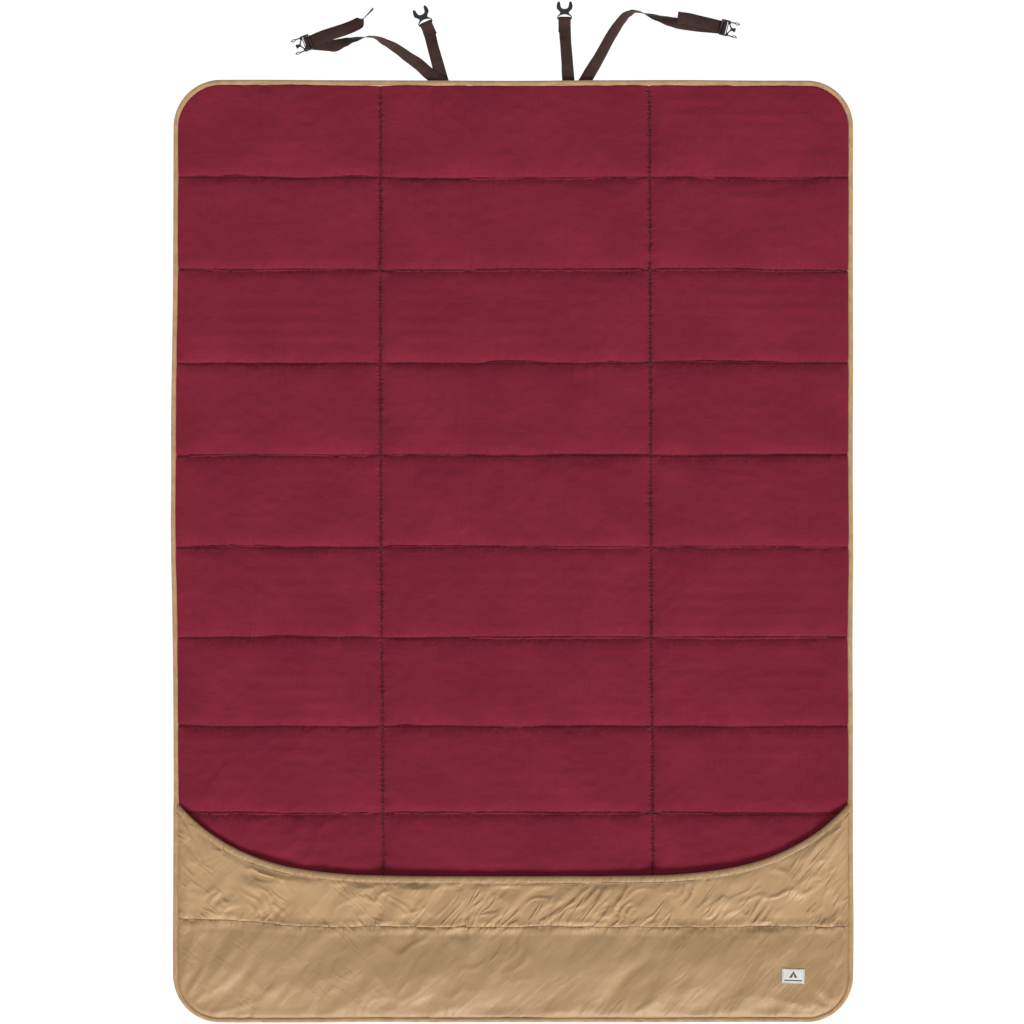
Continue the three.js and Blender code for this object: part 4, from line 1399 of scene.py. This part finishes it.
def root_stations(strap, steps=8):
    """The sewn-in start, from inside the binding to the hinge line."""
    forward = heading_vector(strap["root_heading"])
    tuck = 9 * MM
    start = np.array([strap["root_x"] * MM, HALF_LENGTH + EDGE_GAP, (strap["root_rest"] + 0.75) * MM])
    along = np.linspace(-tuck, strap["root_length"] * MM, steps)[:-1]
    centre = start + forward * along[:, None]
    centre[:, 2] += 2.6 * MM * smoothstep(10 * MM, -6 * MM, along)
    return centre, np.tile(across_heading(strap["root_heading"]), (len(along), 1))


def strap_body_points(strap, ending):
    forward = heading_vector(strap["root_heading"])
    x = strap["root_x"] + forward[0] * strap["root_length"]
    y = (HALF_LENGTH + EDGE_GAP) / MM + forward[1] * strap["root_length"]
    points = [[x, y, 0, strap["root_rest"]], *strap["route"], *ending]
    return lying_run(points, 12, across_heading(strap["root_heading"]))


def along_heading(at, heading, distance):
    forward = heading_vector(heading)
    return [at[0] + forward[0] * distance, at[1] + forward[1] * distance]


def bar_loop():
    """Under the socket's bar, round it and back onto the strap, where it is sewn down."""
    radius = (BAR_RADIUS + WEB_GAP + WEB_THICKNESS / 2) / MM + 0.15
    turns = np.linspace(-math.pi / 2, math.pi / 2, 7)
    bar = BAR_Z / MM
    around = [[radius * math.cos(a), bar + radius * math.sin(a)] for a in turns]
    flap = 1.5 * WEB_THICKNESS / MM + 0.3
    back = [[-5, bar + 2.2], [-12, flap + 1.2], [-18, flap + 0.1], [-27, flap]]
    return [[-12, 0.75], [-5, 0.9], *around, *back]


def tail_loop():
    flap = 1.5 * WEB_THICKNESS / MM + 0.3
    return [
        [2, 2.75], [3.2, 3.2], [3.5, 4.8], [2.9, 6.8], [1.5, 7.9], [0, 8.15], [-1.5, 7.9], [-2.9, 6.8],
        [-3.5, 4.8], [-4.2, 3.1], [-6, flap + 0.15], [-9, flap + 0.1], [-14, flap + 0.1],
    ]


def hinge_blend(piece):
    """A strap piece's place, baked into its mesh."""
    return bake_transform(piece)


def web_piece(name, centre, half, cup, *nodes):
    """A band of webbing that stands for these nodes."""
    piece = dressed(webbing(f"{name}_webbing", centre, half, cup), "webbing")
    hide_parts(*nodes)
    return piece


def flap_stitches(name, at, heading, near, far, z, body):
    """The sewn square with a cross that holds a folded-back end of webbing."""
    half = 9 * MM
    corners = [(near, -half), (near, half), (far, half), (far, -half), (near, -half)]
    forward = heading_vector(heading)
    side = np.array([forward[1], -forward[0], 0])
    origin = np.array([at[0] * MM, at[1] * MM, z])

    def line(points):
        return resample_path(np.array([origin + forward * a + side * b for a, b in points]), 2 * MM)

    lines = [line(corners), line([(near, -half), (far, half)]), line([(near, half), (far, -half)])]
    piece = dressed(stitches(name, lines, 2.4 * MM, 1.8 * MM, 0.32 * MM), "brown_thread")
    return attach(piece, body)


def add_short_strap(name, strap, seed):
    at, heading = strap["at"], strap["heading"]
    root_centre, root_half = root_stations(strap)
    lying_centre, lying_half = strap_body_points(strap, [[*along_heading(at, heading, -13), 0, 0]])
    loop_centre, loop_half = upright_run(at, heading, bar_loop())
    centre = np.concatenate([root_centre, lying_centre[:-3], loop_centre])
    half = np.concatenate([root_half, lying_half[:-3], loop_half])
    cup = np.zeros(len(centre))
    free = len(root_centre) + len(lying_centre) - 3
    cup[:free] = cupping(free, 0.62, len(root_centre) + 10, 22, seed)
    hinge_blend(web_piece(name, centre, half, cup, f"{name}_strap", f"{name}_strap_root"))
    flap_stitches(f"{name}_flap_stitching", at, heading, -25 * MM, -15 * MM, 3.45 * MM, f"{name}_strap")


def add_long_strap(name, strap, seed):
    side = name.replace("_long", "")
    at, heading, run = strap["at"], strap["heading"], strap["run_heading"]
    length = RUN_LENGTH / MM
    root_centre, root_half = root_stations(strap)
    ending = [
        [*along_heading(at, run, -length - 12), strap["run_roll"], 0],
        [*along_heading(at, run, -length), strap["run_roll"], 0],
    ]
    lying_centre, lying_half = strap_body_points(strap, ending)
    centre = np.concatenate([root_centre, lying_centre])
    half = np.concatenate([root_half, lying_half])
    cup = cupping(len(centre), 0.62, len(root_centre) + 10, 20, seed)
    hinge_blend(web_piece(name, centre, half, cup, f"{name}_strap", f"{name}_strap_root"))

    run_profile = [[-length * share, 0.75] for share in (1, 0.6, 0.3)] + [[-3, 0.75], [0.5, 1.2], [2, 2.75]]
    run_centre, run_half = upright_run(at, run, run_profile)
    flat = np.zeros(len(run_centre))
    run_piece = web_piece(f"{side}_run", run_centre, -run_half, flat, f"{side}_strap_run")
    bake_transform(run_piece)

    loop_centre, loop_half = upright_run(at, heading, tail_loop())
    reversed_tail = [[x, y, roll - 180, rest] for x, y, roll, rest in strap["tail"]]
    tail_centre, tail_half = lying_run([[*along_heading(at, heading, -16), 0, 1.9], *reversed_tail], 12)
    centre = np.concatenate([loop_centre, tail_centre])
    half = np.concatenate([loop_half, -tail_half])
    cup = np.zeros(len(centre))
    cup[len(loop_centre):] = cupping(len(tail_centre), 0.4, 16, 6, seed + 3)
    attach(web_piece(f"{side}_tail", centre, half, cup, f"{side}_strap_tail"), f"{side}_plug")


# ------------------------------------------------------------------ buckles

def add_buckle_part(node, body, bevel):
    """A moulded part: the CAD solid's shape with its edges rounded as a mould leaves them."""
    source = frame["nodes"][node]
    work = bmesh.new()
    work.from_mesh(source.data)
    bmesh.ops.remove_doubles(work, verts=work.verts, dist=1e-5)
    bmesh.ops.dissolve_limit(work, angle_limit=math.radians(1), verts=work.verts, edges=work.edges)
    mesh = bpy.data.meshes.new(f"{node}_moulding")
    work.to_mesh(mesh)
    work.free()
    piece = bpy.data.objects.new(f"{node}_moulding", mesh)
    bpy.context.scene.collection.objects.link(piece)
    rounding = piece.modifiers.new("Bevel", "BEVEL")
    rounding.width = bevel
    rounding.segments = 3
    rounding.limit_method = "ANGLE"
    rounding.angle_limit = math.radians(28)
    rounding.harden_normals = False
    evaluated = piece.evaluated_get(bpy.context.evaluated_depsgraph_get())
    rounded = bpy.data.meshes.new_from_object(evaluated)
    piece.modifiers.clear()
    piece.data = rounded
    rounded.name = f"{node}_moulding"
    rounded.polygons.foreach_set("use_smooth", np.ones(len(rounded.polygons), bool))
    rounded.set_sharp_from_angle(angle=math.radians(35))
    dressed(piece, "buckle")
    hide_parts(node)
    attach(piece, body)


# ------------------------------------------------------------------ camera, floor and light

def add_camera():
    data = bpy.data.cameras.new("camera")
    data.lens = 100
    data.sensor_width = 36
    data.clip_end = 50
    camera = bpy.data.objects.new("camera", data)
    visible = 2.072
    centre_y = 80.4 * MM
    camera.location = (0, centre_y, visible / 2 / (18 / 100) + 12 * MM)
    bpy.context.scene.collection.objects.link(camera)
    bpy.context.scene.camera = camera


def add_floor():
    size = 14
    corners = [(-size, -size, 0), (size, -size, 0), (size, size, 0), (-size, size, 0)]
    floor = mesh_object("floor", np.array(corners), [[0, 1, 2, 3]])
    floor.location.z = -0.3 * MM
    shader = Shader("white_floor")
    shader.set("Base Color", (0.1, 0.1, 0.1, 1))
    shader.set("Roughness", 0.9)
    shader.set("Specular IOR Level", 0.0)
    shader.set("Emission Color", (1, 1, 1, 1))
    shader.set("Emission Strength", 1.0)
    floor.data.materials.append(shader.material)


def add_sun(name, azimuth, elevation, softness, strength):
    """Even light from one side: azimuth is where it comes from, in degrees from +X towards +Y."""
    data = bpy.data.lights.new(name, "SUN")
    data.energy = strength
    data.angle = math.radians(softness)
    light = bpy.data.objects.new(name, data)
    turn, rise = math.radians(azimuth), math.radians(elevation)
    towards = Vector((math.cos(turn) * math.cos(rise), math.sin(turn) * math.cos(rise), math.sin(rise)))
    light.rotation_euler = towards.to_track_quat("Z", "Y").to_euler()
    bpy.context.scene.collection.objects.link(light)


def add_lights():
    add_sun("key", -78, 31, 22, 3.35)
    add_sun("fill", 110, 62, 60, 0.5)
    world = bpy.data.worlds.new("studio")
    world.use_nodes = True
    world.node_tree.nodes["Background"].inputs[0].default_value = (1, 1, 1, 1)
    world.node_tree.nodes["Background"].inputs[1].default_value = 0.25
    bpy.context.scene.world = world
    bpy.context.scene.view_settings.view_transform = "Standard"


# ------------------------------------------------------------------ the whole blanket

add_camera()
add_floor()
add_lights()

for index, (name, strap) in enumerate(STRAPS.items()):
    add = add_long_strap if "tail" in strap else add_short_strap
    add(name, strap, 200 + 10 * index)

for side in ("left", "right"):
    add_buckle_part(f"{side}_socket", f"{side}_short_strap", 0.55 * MM)
    add_buckle_part(f"{side}_plug", f"{side}_plug", 0.45 * MM)
    for hand in ("left", "right"):
        add_buckle_part(f"{side}_plug_{hand}_prong", f"{side}_plug_{hand}_prong", 0.4 * MM)

def add_side(side, thirds, lining_folds, satin_folds):
    """Every cover of one side and the nodes it stands for."""
    liner, liner_top = add_liner(side, lining_folds)
    shell = add_shell(side)
    pocket, pocket_lining, pocket_top = add_pocket(side, satin_folds)
    binding = add_binding(side)
    hem = add_hem(side)
    quilting = add_liner_stitches(side, liner_top)
    bound = add_binding_stitches(side)
    sewn = add_pocket_stitches(side, pocket_top)
    for piece, parts in (
        (liner, ("liner", "batting")),
        (shell, ("shell",)),
        (pocket, ("pocket_shell", "pocket_batting")),
        (pocket_lining, ("pocket_lining",)),
        (binding, ("head_binding", "foot_binding")),
        (hem, ("pocket_hem",)),
    ):
        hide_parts(*[f"{third}_{part}" for third in thirds for part in parts])
    for piece in (liner, shell, pocket, pocket_lining, binding, hem, quilting, bound, sewn):
        folds_with(piece, side)

    around = float(path_lengths(outline_path(side)[0])[-1])
    return pocket, pocket_top


settled_parts = settled_folds()
add_side("left", ("left", "centre"), *settled_parts)
right_pocket, right_pocket_top = add_side("right", ("right",), *settled_parts)

label, label_sewn = add_label(right_pocket_top)
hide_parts("label")
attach(label, "right_third")
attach(label_sewn, "right_third")
